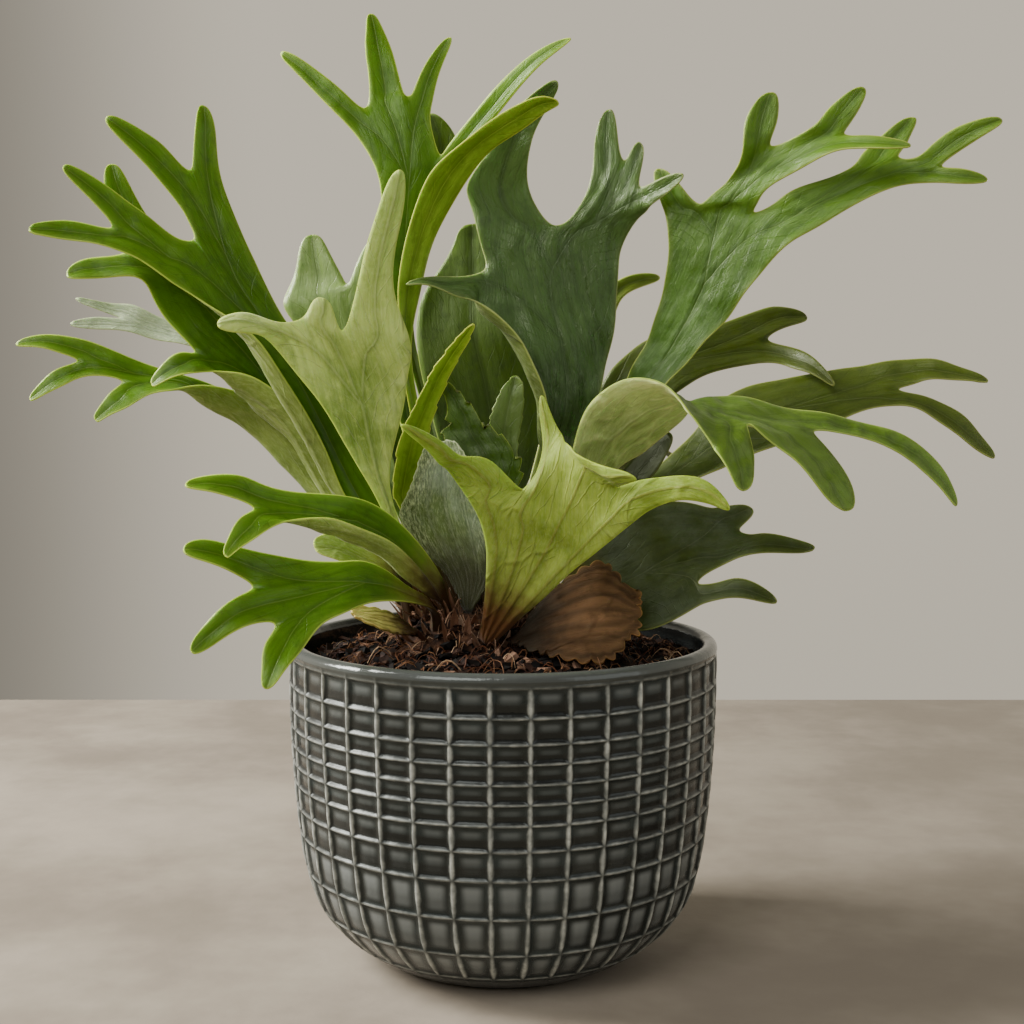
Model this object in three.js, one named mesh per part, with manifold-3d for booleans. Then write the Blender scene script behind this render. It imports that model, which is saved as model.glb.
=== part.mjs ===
// A staghorn fern growing in a glazed ceramic pot whose outside carries a raised grid.
// Millimetres, +Z up, -Y to the front. The origin is the middle of the pot's foot, on the
// surface that the pot stands on. Each frond is one piece with its stalk, which stands in a
// plain hole in the rootstock.
import * as THREE from "three";
import { mergeVertices } from "three/addons/utils/BufferGeometryUtils.js";
import Module from "manifold-3d";

const wasm = await Module();
wasm.setup();

// Driving dimensions of the pot
const POT_HEIGHT = 129;
const RIM_RADIUS = 86;
const WALL = 6;
const FLOOR = 9;
const GRID_COLUMNS = 37;
const FIRST_RIDGE = 6.9;          // degrees from the front to the nearest upright ridge
const GRID_DEPTH = 1.5;           // how far a cell's floor lies under the ridges
const RIDGE_SPACE = 2.0;          // from a ridge's middle to the edge of a cell's floor
const GRID_LINES = [              // each level ridge: its height and the pot's radius there
  [10, 63.2], [23, 74.7], [38.3, 80.1], [53.2, 82.5], [64.3, 83.7], [74, 84.5],
  [81.7, 85], [89, 85.4], [96.4, 85.7], [103.6, 85.9], [113, 86], [124, RIM_RADIUS],
];
const FOOT_RADIUS = 47;
const FLOOR_RADIUS = 40;          // the level part of the floor inside
const FLOOR_CORNER = [11, 52];    // height and radius where the floor turns up into the wall
const RIM_ROUNDING = 2;           // how far the rim's rounding reaches down
const RIM_EDGE = [0.6, 1.2];      // down and across to the middle of that rounding
const RIM_SWELL = 0.2;            // how far the rim band lies under the ridges

// Driving dimensions of what fills it
const CLEARANCE = 0.3;
const SOIL_EDGE = 119;            // height of the soil at the wall
const SOIL_TOP = 129;             // and at the pot's axis
const CROWN = { x: -12, y: 1, radius: 31, footRadius: 27, foot: 116, waist: 127, top: 142 };
const CROWN_SIDES = 20;

// Driving dimensions of the fronds
const STALK_THICKNESS = 2.6;
const BLADE_THICKNESS = 1.2;
const SHIELD_THICKNESS = 1.0;
const STALK_DEPTH = 5;            // how deep a stalk stands in its hole
const HOLE_CLEARANCE = 0.4;
const TIP_SHARE = 0.5;            // a lobe's blunt end against its last traced width
const TIP_WIDTH = 2.0;            // and the least width of such an end
const TIP_THINNING = 0.85;        // a lobe's end against its blade, in thickness
const ROLL_SHARE = 0.4;           // a rolled margin's share of the width against a lobe's column

// The fronds' outlines are traced on a picture of 1024 by 1024 units. Its eye stands in front
// of the pot and looks a little down. A traced point has a depth as well, in millimetres
// behind the pot's axis, so that it names one place in space.
const EYE = new THREE.Vector3(3.6, -640, 232);
const LOOK_DOWN = THREE.MathUtils.degToRad(4.7);
const FOCAL = 1597;
const PICTURE_CENTRE = 512;

function traced(x, y, depth) {
  const ahead = new THREE.Vector3(0, Math.cos(LOOK_DOWN), -Math.sin(LOOK_DOWN));
  const up = new THREE.Vector3(0, Math.sin(LOOK_DOWN), Math.cos(LOOK_DOWN));
  const ray = ahead.addScaledVector(up, (PICTURE_CENTRE - y) / FOCAL);
  ray.x += (x - PICTURE_CENTRE) / FOCAL;
  return EYE.clone().addScaledVector(ray, (depth - EYE.y) / ray.y);
}

// Finishes
const LEAF_GREEN = { color: 0x557f2c, roughness: 0.5, metalness: 0 };
const DEEP_GREEN = { color: 0x3c5a3a, roughness: 0.45, metalness: 0 };
const OLIVE_GREEN = { color: 0x465c30, roughness: 0.55, metalness: 0 };
const PALE_GREEN = { color: 0xa3b04e, roughness: 0.65, metalness: 0 };
const FELT_GREY = { color: 0x6f7c70, roughness: 0.9, metalness: 0 };
const DRY_BROWN = { color: 0x7d5a38, roughness: 0.85, metalness: 0 };
const BARK_BROWN = { color: 0x4a3022, roughness: 0.95, metalness: 0 };
const DARK_SOIL = { color: 0x35231a, roughness: 1, metalness: 0 };
const DARK_GLAZE = { color: 0x454a4b, roughness: 0.2, metalness: 0 };

// Fronds. A row is the points across the frond at one place, from its left margin to its right
// as the stalk grows away and the upper side is up: x, y and depth for each. Rows with two
// points are a plain strip, and a third point between them is the fold of a rolled margin.
// A fork row has the sinuses between its outer points, and one lobe grows between each pair.
// A foot is the place on the rootstock, x and y, and the stalk's width there.
const FRONDS = [
  {
    name: "frond_left_high", finish: LEAF_GREEN, foot: [-32, 0.5, 6],
    rows: [
      [393, 570, -4, 406, 561, 0],
      [346, 500, -10, 341, 501, -5, 376, 492, 0],
      [326, 452, -15, 316, 456, -9, 352, 440, -3],
      [303, 408, -19, 291, 412, -13, 330, 392, -5],
      [275, 364, -22, 262, 366, -15, 310, 350, -6],
      [243, 329, -24, 230, 323, -17, 283, 318, -6],
    ],
    fork: [188, 293, -20, 193, 240, -10, 259, 272, -4],
    lobes: [
      {
        rows: [[165, 278, -21, 175, 238, -12], [140, 261, -22, 150, 219, -13]],
        fork: [115, 251, -23, 111, 228, -19, 130, 204, -15],
        lobes: [
          {
            roll: true,
            rows: [[88, 243, -25, 84, 224, -21], [58, 239, -27, 58, 221, -24]],
            tip: [29, 229, -28],
          },
          { rows: [[99, 209, -20, 112, 190, -16], [82, 191, -21, 90, 175, -18]], tip: [62, 165, -22] },
        ],
      },
      {
        rows: [[189, 224, -8, 247, 246, -2]],
        fork: [180, 207, -8, 189, 170, -3, 229, 202, 0],
        lobes: [
          { rows: [[158, 180, -8, 168, 151, -3], [133, 153, -9, 146, 134, -4]], tip: [104, 117, -8] },
          { rows: [[193, 149, 0, 218, 165, 4], [195, 124, 3, 215, 132, 6]], tip: [203, 105, 8] },
        ],
      },
    ],
  },
  {
    name: "frond_left_behind", finish: LEAF_GREEN, foot: [-35, 5, 6],
    rows: [
      [385, 575, 4, 397, 567, 8],
      [333, 490, 2, 325, 494, 6, 346, 484, 10],
      [306, 432, -2, 295, 444, 5, 326, 420, 10],
      [284, 400, -5, 266, 417, 4, 308, 384, 10],
      [250, 377, -7, 242, 395, 2, 284, 352, 10],
    ],
    fork: [215, 372, -8, 194, 351, -3, 262, 318, 8],
    lobes: [
      {
        roll: true,
        rows: [[190, 374, -11, 180, 354, -6], [170, 379, -13, 163, 366, -9]],
        tip: [151, 384, -13],
      },
      {
        rows: [[171, 326, -2, 240, 290, 9], [152, 298, -2, 218, 264, 10]],
        fork: [134, 279, -3, 128, 252, 3, 200, 250, 10],
        lobes: [
          { rows: [[91, 278, -5, 92, 258, 0]], tip: [66, 275, -4] },
          {
            rows: [[132, 228, 6, 166, 236, 11], [111, 201, 8, 141, 206, 12], [104, 182, 9, 127, 180, 12]],
            tip: [111, 163, 12],
          },
        ],
      },
    ],
  },
  {
    name: "frond_left_low", finish: OLIVE_GREEN, foot: [-38, 11, 6],
    rows: [
      [384, 583, 12, 390, 574, 18],
      [350, 535, 10, 344, 539, 14, 356, 528, 20],
      [326, 484, 12, 313, 496, 18, 330, 486, 24],
      [294, 446, 11, 282, 463, 19, 300, 450, 27],
      [267, 411, 10, 251, 432, 19, 272, 416, 28],
      [236, 393, 7, 224, 414, 15, 240, 399, 24],
      [198, 386, 3, 198, 400, 9, 206, 384, 19],
      [172, 392, 0, 176, 387, 5, 174, 374, 13],
    ],
    fork: [150, 396, -1, 122, 383, 3, 146, 365, 11],
    lobes: [
      {
        roll: true,
        rows: [[129, 406, -5, 112, 392, -1], [113, 413, -7, 102, 404, -4]],
        tip: [95, 420, -8],
      },
      {
        rows: [[104, 377, 1, 118, 354, 8]],
        fork: [82, 378, -1, 77, 361, 2, 92, 343, 6],
        lobes: [
          { rows: [[64, 386, -4, 60, 369, 0], [46, 394, -6, 43, 381, -3]], tip: [29, 400, -7] },
          { rows: [[58, 353, 0, 68, 337, 4], [38, 348, -1, 43, 335, 2]], tip: [15, 344, -1] },
        ],
      },
    ],
  },
  {
    name: "frond_left_inner", finish: PALE_GREEN, foot: [-29, -6, 6.5], cup: 0.08,
    rows: [
      [417, 566, -13, 406, 570, -13],
      [394, 505, -22, 381, 508, -24],
      [390, 470, -25, 362, 473, -30],
      [396, 438, -27, 342, 438, -34],
      [404, 406, -28, 321, 405, -37],
      [408, 375, -29, 299, 377, -39],
    ],
    fork: [411, 345, -30, 342, 330, -36, 300, 319, -40, 277, 350, -42],
    lobes: [
      {
        rows: [
          [398, 306, -32, 351, 311, -36], [393, 275, -34, 359, 277, -37],
          [397, 240, -36, 367, 244, -39], [404, 205, -37, 379, 206, -40],
        ],
        tip: [400, 168, -40],
      },
      { rows: [[335, 317, -36, 310, 306, -38]], tip: [324, 298, -36] },
      { rows: [[274, 321, -44, 261, 336, -48], [246, 312, -48, 243, 333, -54]], tip: [216, 323, -56] },
    ],
  },
  {
    name: "frond_front_left_low", finish: LEAF_GREEN, foot: [-26, -20, 6.5],
    rows: [
      [438, 613, -29, 431, 602, -27],
      [421, 605, -36, 411, 589, -32],
      [397, 602, -45, 388, 573, -38],
      [368, 604, -54, 362, 562, -44],
      [342, 615, -62, 330, 562, -50],
    ],
    fork: [319, 628, -70, 274, 623, -72, 252, 587, -68, 276, 557, -58],
    lobes: [
      { rows: [[303, 648, -78, 265, 645, -79], [287, 669, -84, 262, 668, -84]], tip: [266, 690, -88] },
      { rows: [[241, 629, -79, 229, 602, -76], [214, 645, -84, 205, 624, -82]], tip: [190, 652, -87] },
      { rows: [[230, 573, -74, 241, 547, -66], [204, 563, -78, 207, 541, -72]], tip: [182, 549, -78] },
    ],
  },
  {
    name: "frond_front_left_high", finish: LEAF_GREEN, foot: [-21, -14, 6],
    rows: [
      [437, 592, -25, 440, 600, -22, 446, 590, -18],
      [411, 559, -34, 415, 582, -28, 434, 565, -22],
      [384, 538, -42, 381, 553, -36, 403, 527, -28],
      [352, 526, -50, 343, 538, -46, 371, 504, -36],
      [322, 519, -58, 315, 528, -54, 338, 496, -44],
    ],
    fork: [283, 523, -68, 253, 508, -66, 276, 489, -56],
    lobes: [
      {
        roll: true,
        rows: [[259, 536, -75, 241, 517, -73], [241, 547, -79, 229, 535, -78]],
        tip: [225, 555, -82],
      },
      { rows: [[230, 497, -71, 243, 478, -62], [207, 491, -75, 211, 475, -68]], tip: [184, 485, -76] },
    ],
  },
  {
    name: "frond_top_left", finish: LEAF_GREEN, foot: [-20, 13, 6.5],
    rows: [
      [439, 560, 20, 450, 560, 22],
      [422, 500, 25, 434, 500, 28],
      [402, 430, 30, 420, 430, 34],
      [390, 360, 34, 411, 362, 39],
      [385, 300, 37, 413, 300, 43],
      [383, 245, 40, 426, 245, 47],
      [381, 200, 42, 440, 205, 48],
    ],
    fork: [375, 168, 44, 439, 153, 48, 463, 163, 42],
    lobes: [
      {
        rows: [],
        fork: [357, 137, 47, 364, 108, 50, 406, 96, 52, 431, 125, 50],
        lobes: [
          {
            rows: [[340, 118, 48, 347, 96, 51], [322, 100, 50, 328, 79, 52], [300, 77, 52, 305, 62, 54]],
            tip: [280, 53, 56],
          },
          {
            rows: [
              [369, 95, 52, 402, 89, 54], [368, 72, 54, 397, 70, 56], [365, 48, 56, 391, 48, 58],
              [366, 28, 58, 383, 28, 60],
            ],
            tip: [371, 12, 61],
          },
          {
            rows: [[412, 94, 52, 432, 105, 52], [419, 77, 53, 438, 78, 54], [431, 55, 54, 447, 54, 55]],
            tip: [450, 36, 56],
          },
        ],
      },
      {
        rows: [
          [449, 145, 44, 478, 140, 38], [472, 118, 40, 502, 110, 34], [496, 88, 36, 525, 82, 30],
          [525, 60, 32, 549, 58, 27],
        ],
        tip: [570, 36, 26],
      },
    ],
  },
  {
    name: "frond_top_strap", finish: LEAF_GREEN, foot: [-15, 6, 6.5],
    rows: [
      [443, 560, 6, 453, 560, 9],
      [424, 480, 6, 434, 480, 10],
      [407, 400, 4, 416, 400, 9],
      [401, 340, 1, 411, 336, 7],
      [396, 295, -2, 417, 297, 6],
      [404, 245, -4, 433, 244, 4],
      [418, 198, -6, 452, 202, 2],
      [434, 167, -7, 472, 172, 0],
      [462, 141, -8, 493, 149, -2],
      [500, 115, -9, 519, 131, -4],
      [533, 97, -9, 545, 112, -6],
    ],
    tip: [559, 101, -8],
  },
  {
    name: "frond_centre_broad", finish: DEEP_GREEN, foot: [0, 11, 7],
    rows: [
      [523, 560, 9, 535, 560, 12],
      [548, 480, 2, 540, 480, 6, 565, 478, 12],
      [549, 440, 0, 540, 442, 5, 577, 436, 13],
      [546, 404, -2, 537, 408, 4, 595, 402, 15],
      [536, 370, -3, 526, 373, 4, 604, 370, 17],
      [517, 338, -3, 506, 336, 5, 612, 338, 19],
      [492, 309, -2, 480, 308, 7, 616, 304, 21],
    ],
    fork: [468, 300, 2, 484, 270, 11, 618, 270, 23],
    lobes: [
      {
        roll: true,
        rows: [[446, 293, -2, 456, 277, 5], [426, 286, -6, 433, 277, -1]],
        tip: [407, 283, -7],
      },
      {
        rows: [[480, 245, 13, 622, 247, 24]],
        fork: [471, 208, 14, 554, 226, 20, 635, 222, 23],
        lobes: [
          {
            rows: [
              [467, 185, 13, 533, 199, 18], [483, 158, 12, 527, 170, 16],
              [501, 131, 10, 530, 145, 14], [519, 106, 8, 540, 121, 12],
            ],
            tip: [558, 79, 6],
          },
          {
            rows: [[576, 212, 22, 646, 210, 20]],
            fork: [588, 189, 24, 624, 160, 26, 640, 186, 20, 652, 205, 16],
            lobes: [
              { rows: [[593, 165, 27, 619, 147, 29], [595, 137, 30, 617, 128, 31]], tip: [608, 108, 33] },
              { rows: [[631, 150, 26, 642, 166, 24]], tip: [642, 143, 26] },
              { rows: [[656, 181, 14, 663, 197, 12]], tip: [685, 174, 4] },
            ],
          },
        ],
      },
    ],
  },
  {
    name: "frond_right_high", finish: DEEP_GREEN, foot: [7, 8, 7],
    rows: [
      [543, 560, 13, 554, 564, 10],
      [582, 485, 17, 596, 492, 11],
      [608, 425, 16, 632, 434, 6],
      [628, 380, 17, 668, 385, 5],
      [646, 344, 17, 694, 356, 4],
      [659, 308, 17, 719, 328, 2],
      [668, 268, 17, 742, 299, 0],
      [669, 240, 17, 767, 266, -2],
    ],
    fork: [667, 222, 18, 755, 212, 6, 795, 241, -4],
    lobes: [
      {
        rows: [],
        fork: [664, 210, 19, 701, 204, 13, 758, 203, 4],
        lobes: [
          { rows: [[657, 192, 20, 686, 192, 16]], tip: [659, 168, 22] },
          {
            rows: [[715, 197, 9, 770, 192, 0]],
            fork: [731, 178, 5, 775, 146, 2, 797, 171, -6],
            lobes: [
              { rows: [[742, 150, 4, 773, 134, 4], [745, 121, 6, 778, 116, 6]], tip: [770, 92, 9] },
              {
                rows: [],
                fork: [812, 127, -3, 845, 134, -7, 833, 153, -12],
                lobes: [
                  { rows: [[828, 109, -3, 852, 121, -5]], tip: [865, 86, -3] },
                  {
                    rows: [[861, 135, -13, 862, 149, -17], [884, 137, -17, 886, 149, -21]],
                    tip: [912, 145, -22],
                  },
                ],
              },
            ],
          },
        ],
      },
      {
        rows: [[774, 204, 3, 820, 226, -6], [799, 189, 1, 850, 208, -7]],
        fork: [845, 173, 1, 899, 158, -3, 893, 188, -9],
        lobes: [
          { rows: [[861, 155, 2, 905, 147, 0], [880, 137, 3, 911, 135, 2]], tip: [912, 117, 4] },
          {
            rows: [[916, 158, -6, 922, 183, -10]],
            fork: [931, 146, -6, 942, 166, -9, 942, 183, -12],
            lobes: [
              {
                rows: [[951, 130, -8, 963, 149, -9], [975, 121, -9, 985, 135, -11]],
                tip: [1003, 119, -11],
              },
              { rows: [[960, 169, -12, 962, 184, -14]], tip: [989, 179, -15] },
            ],
          },
        ],
      },
    ],
  },
  {
    name: "frond_right_back", finish: OLIVE_GREEN, foot: [6, 18, 6],
    rows: [
      [532, 560, 26, 542, 565, 22],
      [565, 480, 32, 578, 489, 27],
      [586, 420, 36, 606, 432, 30],
      [606, 380, 40, 646, 412, 30],
      [642, 344, 44, 684, 388, 30],
      [690, 333, 46, 716, 372, 32],
    ],
    fork: [748, 315, 46, 768, 340, 38, 766, 363, 32],
    lobes: [
      { rows: [[775, 306, 46, 785, 329, 40]], tip: [808, 316, 44] },
      { rows: [[790, 347, 32, 793, 369, 26], [813, 357, 22, 813, 375, 18]], tip: [836, 386, 10] },
    ],
  },
  {
    name: "frond_right_level", finish: OLIVE_GREEN, foot: [13, 5, 6.5],
    rows: [
      [566, 548, 7, 574, 558, 3],
      [604, 505, 12, 614, 520, 4],
      [648, 474, 18, 662, 496, 6],
      [690, 438, 22, 704, 478, 6],
      [722, 400, 25, 745, 459, 5],
      [765, 383, 26, 790, 441, 4],
      [818, 374, 25, 830, 424, 4],
    ],
    fork: [868, 366, 22, 899, 390, 12, 880, 407, 6],
    lobes: [
      { rows: [[902, 361, 20, 914, 384, 12], [936, 361, 17, 938, 379, 10]], tip: [991, 381, 9] },
      {
        rows: [[922, 397, 10, 915, 410, 4], [950, 409, 8, 944, 426, 2], [974, 429, 6, 970, 445, 1]],
        tip: [996, 458, 2],
      },
    ],
  },
  {
    name: "frond_right_arch", finish: PALE_GREEN, foot: [8, -7, 6.5],
    rows: [
      [553, 570, -11, 544, 562, -17],
      [582, 518, -18, 558, 504, -30],
      [607, 483, -24, 571, 458, -43],
      [625, 465, -29, 586, 414, -54],
      [646, 452, -33, 604, 392, -61],
      [667, 435, -37, 627, 381, -66],
      [684, 420, -40, 648, 381, -70],
      [692, 410, -43, 667, 390, -73],
      [706, 400, -45, 684, 408, -75],
      [748, 400, -46, 702, 431, -77],
    ],
    fork: [800, 411, -45, 813, 433, -54, 747, 427, -70, 712, 447, -78],
    lobes: [
      {
        rows: [
          [847, 419, -43, 838, 434, -51], [872, 425, -42, 865, 439, -49], [900, 436, -41, 892, 451, -47],
          [926, 453, -40, 919, 469, -45], [946, 474, -39, 941, 489, -43],
        ],
        tip: [958, 506, -41],
      },
      {
        rows: [
          [825, 448, -57, 763, 437, -71], [839, 464, -60, 786, 455, -72],
          [849, 484, -63, 807, 477, -73],
        ],
        tip: [847, 512, -70],
      },
      { rows: [[753, 448, -73, 716, 454, -80], [754, 467, -76, 725, 468, -82]], tip: [744, 492, -82] },
    ],
  },
  {
    name: "frond_right_low", finish: OLIVE_GREEN, foot: [11, -13, 6.5], cup: 0.05,
    rows: [
      [556, 590, -12, 560, 604, -18],
      [580, 562, -8, 592, 616, -22],
      [603, 541, -5, 625, 630, -26],
      [631, 514, -1, 656, 629, -27],
      [669, 502, 2, 685, 615, -25],
    ],
    fork: [702, 507, 3, 741, 532, -2, 698, 582, -16, 702, 605, -22],
    lobes: [
      { rows: [[720, 507, 3, 743, 525, 0]], tip: [752, 507, 3] },
      { rows: [[754, 536, -4, 722, 565, -13], [774, 536, -6, 755, 555, -12]], tip: [817, 549, -8] },
      { rows: [[716, 583, -18, 717, 600, -23], [742, 579, -20, 741, 598, -24]], tip: [779, 602, -24] },
    ],
  },
  {
    name: "frond_front", finish: PALE_GREEN, foot: [-6, -27, 7], cup: 0.12,
    rows: [
      [498, 640, -32, 480, 630, -32],
      [518, 621, -38, 484, 603, -38],
      [543, 599, -46, 486, 575, -45],
      [568, 575, -53, 486, 548, -52],
      [592, 556, -59, 480, 522, -58],
      [615, 537, -64, 468, 499, -64],
    ],
    fork: [636, 520, -68, 617, 487, -66, 563, 442, -60, 525, 490, -56, 450, 474, -70],
    lobes: [
      {
        rows: [
          [652, 509, -71, 637, 481, -68], [672, 502, -73, 664, 477, -70],
          [692, 501, -75, 688, 476, -72], [712, 505, -77, 708, 482, -75],
        ],
        tip: [731, 508, -79],
      },
      { rows: [[622, 484, -72, 586, 461, -68]], tip: [634, 475, -78] },
      { rows: [[560, 434, -55, 541, 460, -52], [553, 420, -52, 542, 434, -50]], tip: [542, 395, -47] },
      {
        rows: [
          [492, 461, -66, 443, 467, -74], [463, 457, -72, 436, 461, -77],
          [444, 443, -78, 425, 448, -81],
        ],
        tip: [400, 423, -86],
      },
    ],
  },
  {
    name: "frond_young_felted", finish: FELT_GREY, foot: [-14, -13, 6.5], columns: 2,
    rows: [
      [461, 606, -12, 475, 606, -18],
      [447, 577, -9, 490, 580, -20],
      [425, 553, -7, 496, 550, -21],
      [404, 525, -6, 496, 520, -21],
      [401, 507, -6, 490, 495, -19],
      [411, 484, -8, 478, 475, -16],
    ],
    tip: [441, 440, -10],
  },
  {
    name: "frond_young_strap", finish: LEAF_GREEN, foot: [-20, -4, 6],
    rows: [
      [441, 590, -3, 450, 588, -3],
      [419, 545, 1, 430, 541, 1],
      [397, 505, 2, 411, 501, 3],
      [392, 485, 1, 416, 478, 4],
      [398, 440, -3, 428, 437, 1],
      [412, 410, -5, 437, 409, 0],
      [425, 383, -5, 447, 385, 0],
      [441, 357, -6, 458, 361, -2],
    ],
    tip: [475, 322, -6],
  },
  {
    name: "frond_young_jagged", finish: LEAF_GREEN, foot: [-11, -4, 6], columns: 2,
    rows: [
      [471, 590, -5, 481, 590, -5],
      [461, 540, -5, 492, 540, -6],
      [455, 500, -3, 516, 500, -6],
      [450, 460, -1, 524, 462, -5],
      [440, 433, 3, 505, 436, -2],
      [446, 412, 3, 484, 418, 1],
    ],
    tip: [445, 381, 5],
  },
  {
    name: "frond_young_rounded", finish: LEAF_GREEN, foot: [-4, 3, 6],
    rows: [
      [488, 580, 4, 498, 580, 4],
      [490, 500, 5, 512, 500, 5],
      [488, 440, 6, 520, 436, 6],
      [491, 411, 6, 524, 411, 6],
    ],
    tip: [516, 374, 8],
  },
  {
    name: "frond_back_broad", finish: DEEP_GREEN, foot: [-8, 23, 6.5], columns: 2,
    rows: [
      [475, 560, 35, 494, 560, 35],
      [450, 480, 50, 529, 480, 54],
      [430, 410, 57, 548, 404, 61],
      [417, 345, 62, 531, 330, 60],
      [424, 295, 66, 520, 285, 65],
      [447, 257, 69, 497, 250, 68],
    ],
    tip: [472, 224, 71],
  },
  {
    name: "frond_back_round", finish: LEAF_GREEN, foot: [-29, 13, 6],
    rows: [
      [420, 570, 24, 430, 566, 24],
      [390, 500, 32, 404, 494, 32],
      [352, 430, 38, 384, 415, 38],
      [320, 370, 43, 380, 350, 42],
      [298, 328, 46, 376, 318, 44],
    ],
    fork: [284, 304, 48, 349, 283, 46, 380, 296, 44],
    lobes: [
      { rows: [[294, 278, 51, 342, 276, 49], [299, 254, 53, 329, 251, 52]], tip: [312, 234, 54] },
      { rows: [[358, 262, 48, 380, 268, 46]], tip: [374, 240, 49] },
    ],
  },
  {
    name: "frond_back_tall", finish: OLIVE_GREEN, foot: [-20, 26, 6],
    rows: [
      [455, 560, 44, 464, 560, 44],
      [440, 480, 52, 449, 480, 52],
      [420, 400, 65, 430, 400, 65],
      [401, 320, 71, 413, 320, 71],
      [402, 245, 75, 429, 245, 75],
      [413, 185, 77, 449, 185, 77],
      [424, 145, 78, 458, 145, 78],
    ],
    tip: [430, 112, 79],
  },
  {
    name: "frond_back_narrow", finish: OLIVE_GREEN, foot: [2, 25, 6],
    rows: [
      [512, 560, 38, 521, 562, 36],
      [532, 470, 47, 546, 474, 45],
      [560, 380, 54, 588, 388, 51],
      [590, 310, 58, 611, 328, 56],
      [617, 281, 61, 622, 299, 59],
      [638, 274, 62, 642, 287, 61],
    ],
    tip: [661, 277, 63],
  },
  {
    name: "frond_left_pale", finish: PALE_GREEN, foot: [-34, 20, 5.5],
    rows: [
      [392, 574, 34, 396, 565, 36],
      [330, 484, 54, 337, 473, 56],
      [270, 402, 68, 279, 389, 70],
      [205, 352, 78, 212, 333, 80],
      [160, 341, 82, 165, 319, 85],
    ],
    fork: [130, 332, 83, 119, 318, 85, 135, 306, 87],
    lobes: [
      { rows: [[101, 329, 83, 99, 317, 85]], tip: [69, 324, 84] },
      { rows: [[107, 313, 87, 110, 303, 88]], tip: [74, 298, 88] },
    ],
  },
  {
    name: "frond_right_inner", finish: OLIVE_GREEN, foot: [9, 1, 5.5],
    rows: [
      [552, 560, 1, 560, 566, -2],
      [588, 513, 2, 599, 525, -4],
      [624, 470, 4, 640, 488, -4],
      [642, 447, 5, 659, 470, -3],
    ],
    tip: [672, 432, 2],
  },
  {
    name: "frond_rear_left", finish: LEAF_GREEN, foot: [-28, 20, 6], inSpace: true,
    rows: [
      [-43, 38, 172, -34, 48, 175],
      [-58, 52, 204, -42, 70, 210],
      [-74, 68, 226, -48, 92, 232],
    ],
    fork: [-90, 86, 234, -70, 106, 240, -52, 114, 238],
    lobes: [
      { rows: [[-101, 104, 230, -85, 119, 234]], tip: [-108, 132, 216] },
      { rows: [[-77, 124, 236, -60, 130, 234]], tip: [-80, 150, 220] },
    ],
  },
  {
    name: "frond_rear", finish: LEAF_GREEN, foot: [-6, 30, 7], inSpace: true,
    rows: [
      [-12, 58, 180, 0, 58, 180],
      [-19, 77, 216, 7, 76, 216],
      [-27, 100, 238, 16, 98, 238],
    ],
    fork: [-34, 122, 240, -12, 126, 244, 12, 124, 243, 26, 116, 238],
    lobes: [
      { rows: [[-38, 142, 230, -21, 145, 233]], tip: [-38, 164, 208] },
      { rows: [[-11, 145, 236, 8, 144, 236]], tip: [-1, 170, 216] },
      { rows: [[22, 140, 232, 33, 130, 228]], tip: [40, 156, 206] },
    ],
  },
  {
    name: "frond_rear_right", finish: OLIVE_GREEN, foot: [9, 22, 6.5], inSpace: true,
    rows: [
      [12, 48, 168, 22, 40, 166],
      [20, 66, 194, 36, 50, 190],
      [32, 86, 208, 53, 62, 202],
    ],
    fork: [40, 104, 208, 56, 94, 211, 68, 76, 200],
    lobes: [
      { rows: [[46, 124, 200, 62, 116, 202]], tip: [62, 144, 180] },
      { rows: [[72, 104, 203, 79, 90, 196]], tip: [92, 112, 178] },
    ],
  },
  {
    name: "shield_brown", finish: DRY_BROWN, foot: [2, -23, 6], columns: 3,
    thickness: SHIELD_THICKNESS, cup: -0.06,
    rows: [
      [519, 631, -30, 509, 642, -34],
      [536, 604, -29, 536, 654, -44],
      [563, 580, -28, 562, 660, -49],
      [588, 563, -27, 588, 665, -51],
      [605, 561, -27, 608, 663, -50],
      [619, 572, -27, 622, 653, -47],
      [632, 588, -28, 632, 638, -42],
    ],
    tip: [642, 612, -34], blunt: 24,
  },
  {
    name: "shield_green", finish: PALE_GREEN, foot: [-37, -8, 6], columns: 2, thickness: SHIELD_THICKNESS,
    rows: [
      [402, 590, -14, 397, 570, -10],
      [372, 577, -18, 362, 545, -12],
      [344, 563, -21, 334, 534, -16],
    ],
    tip: [314, 547, -21],
  },
  {
    name: "shield_left", finish: DRY_BROWN, foot: [-33, -17, 6.5], columns: 2, thickness: SHIELD_THICKNESS,
    rows: [
      [412, 634, -33, 402, 618, -26],
      [392, 632, -38, 380, 608, -29],
    ],
    tip: [350, 611, -38], blunt: 8,
  },
];

// Pot

function potOutline() {
  // Inside of the wall and the rounded rim, from the floor's middle up and out
  const inner = GRID_LINES.slice(1, -1).map(([height, radius]) => [height, radius - WALL]);
  const [edgeDrop, edgeIn] = RIM_EDGE;
  return [
    [FLOOR, FLOOR_RADIUS], FLOOR_CORNER,
    ...inner.filter(([height]) => height > FLOOR_CORNER[0] + RIM_ROUNDING),
    [POT_HEIGHT - RIM_ROUNDING, RIM_RADIUS - WALL],
    [POT_HEIGHT - edgeDrop, RIM_RADIUS - WALL + edgeIn],
    [POT_HEIGHT, RIM_RADIUS - WALL / 2],
    [POT_HEIGHT - edgeDrop, RIM_RADIUS - edgeIn],
    [POT_HEIGHT - RIM_ROUNDING, RIM_RADIUS - RIM_SWELL],
  ];
}

function ridgeAngle(column) {
  return THREE.MathUtils.degToRad(FIRST_RIDGE - 90 + (column * 360) / GRID_COLUMNS);
}

function ringPoint(angle, radius, height) {
  return [radius * Math.cos(angle), radius * Math.sin(angle), height];
}

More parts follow.
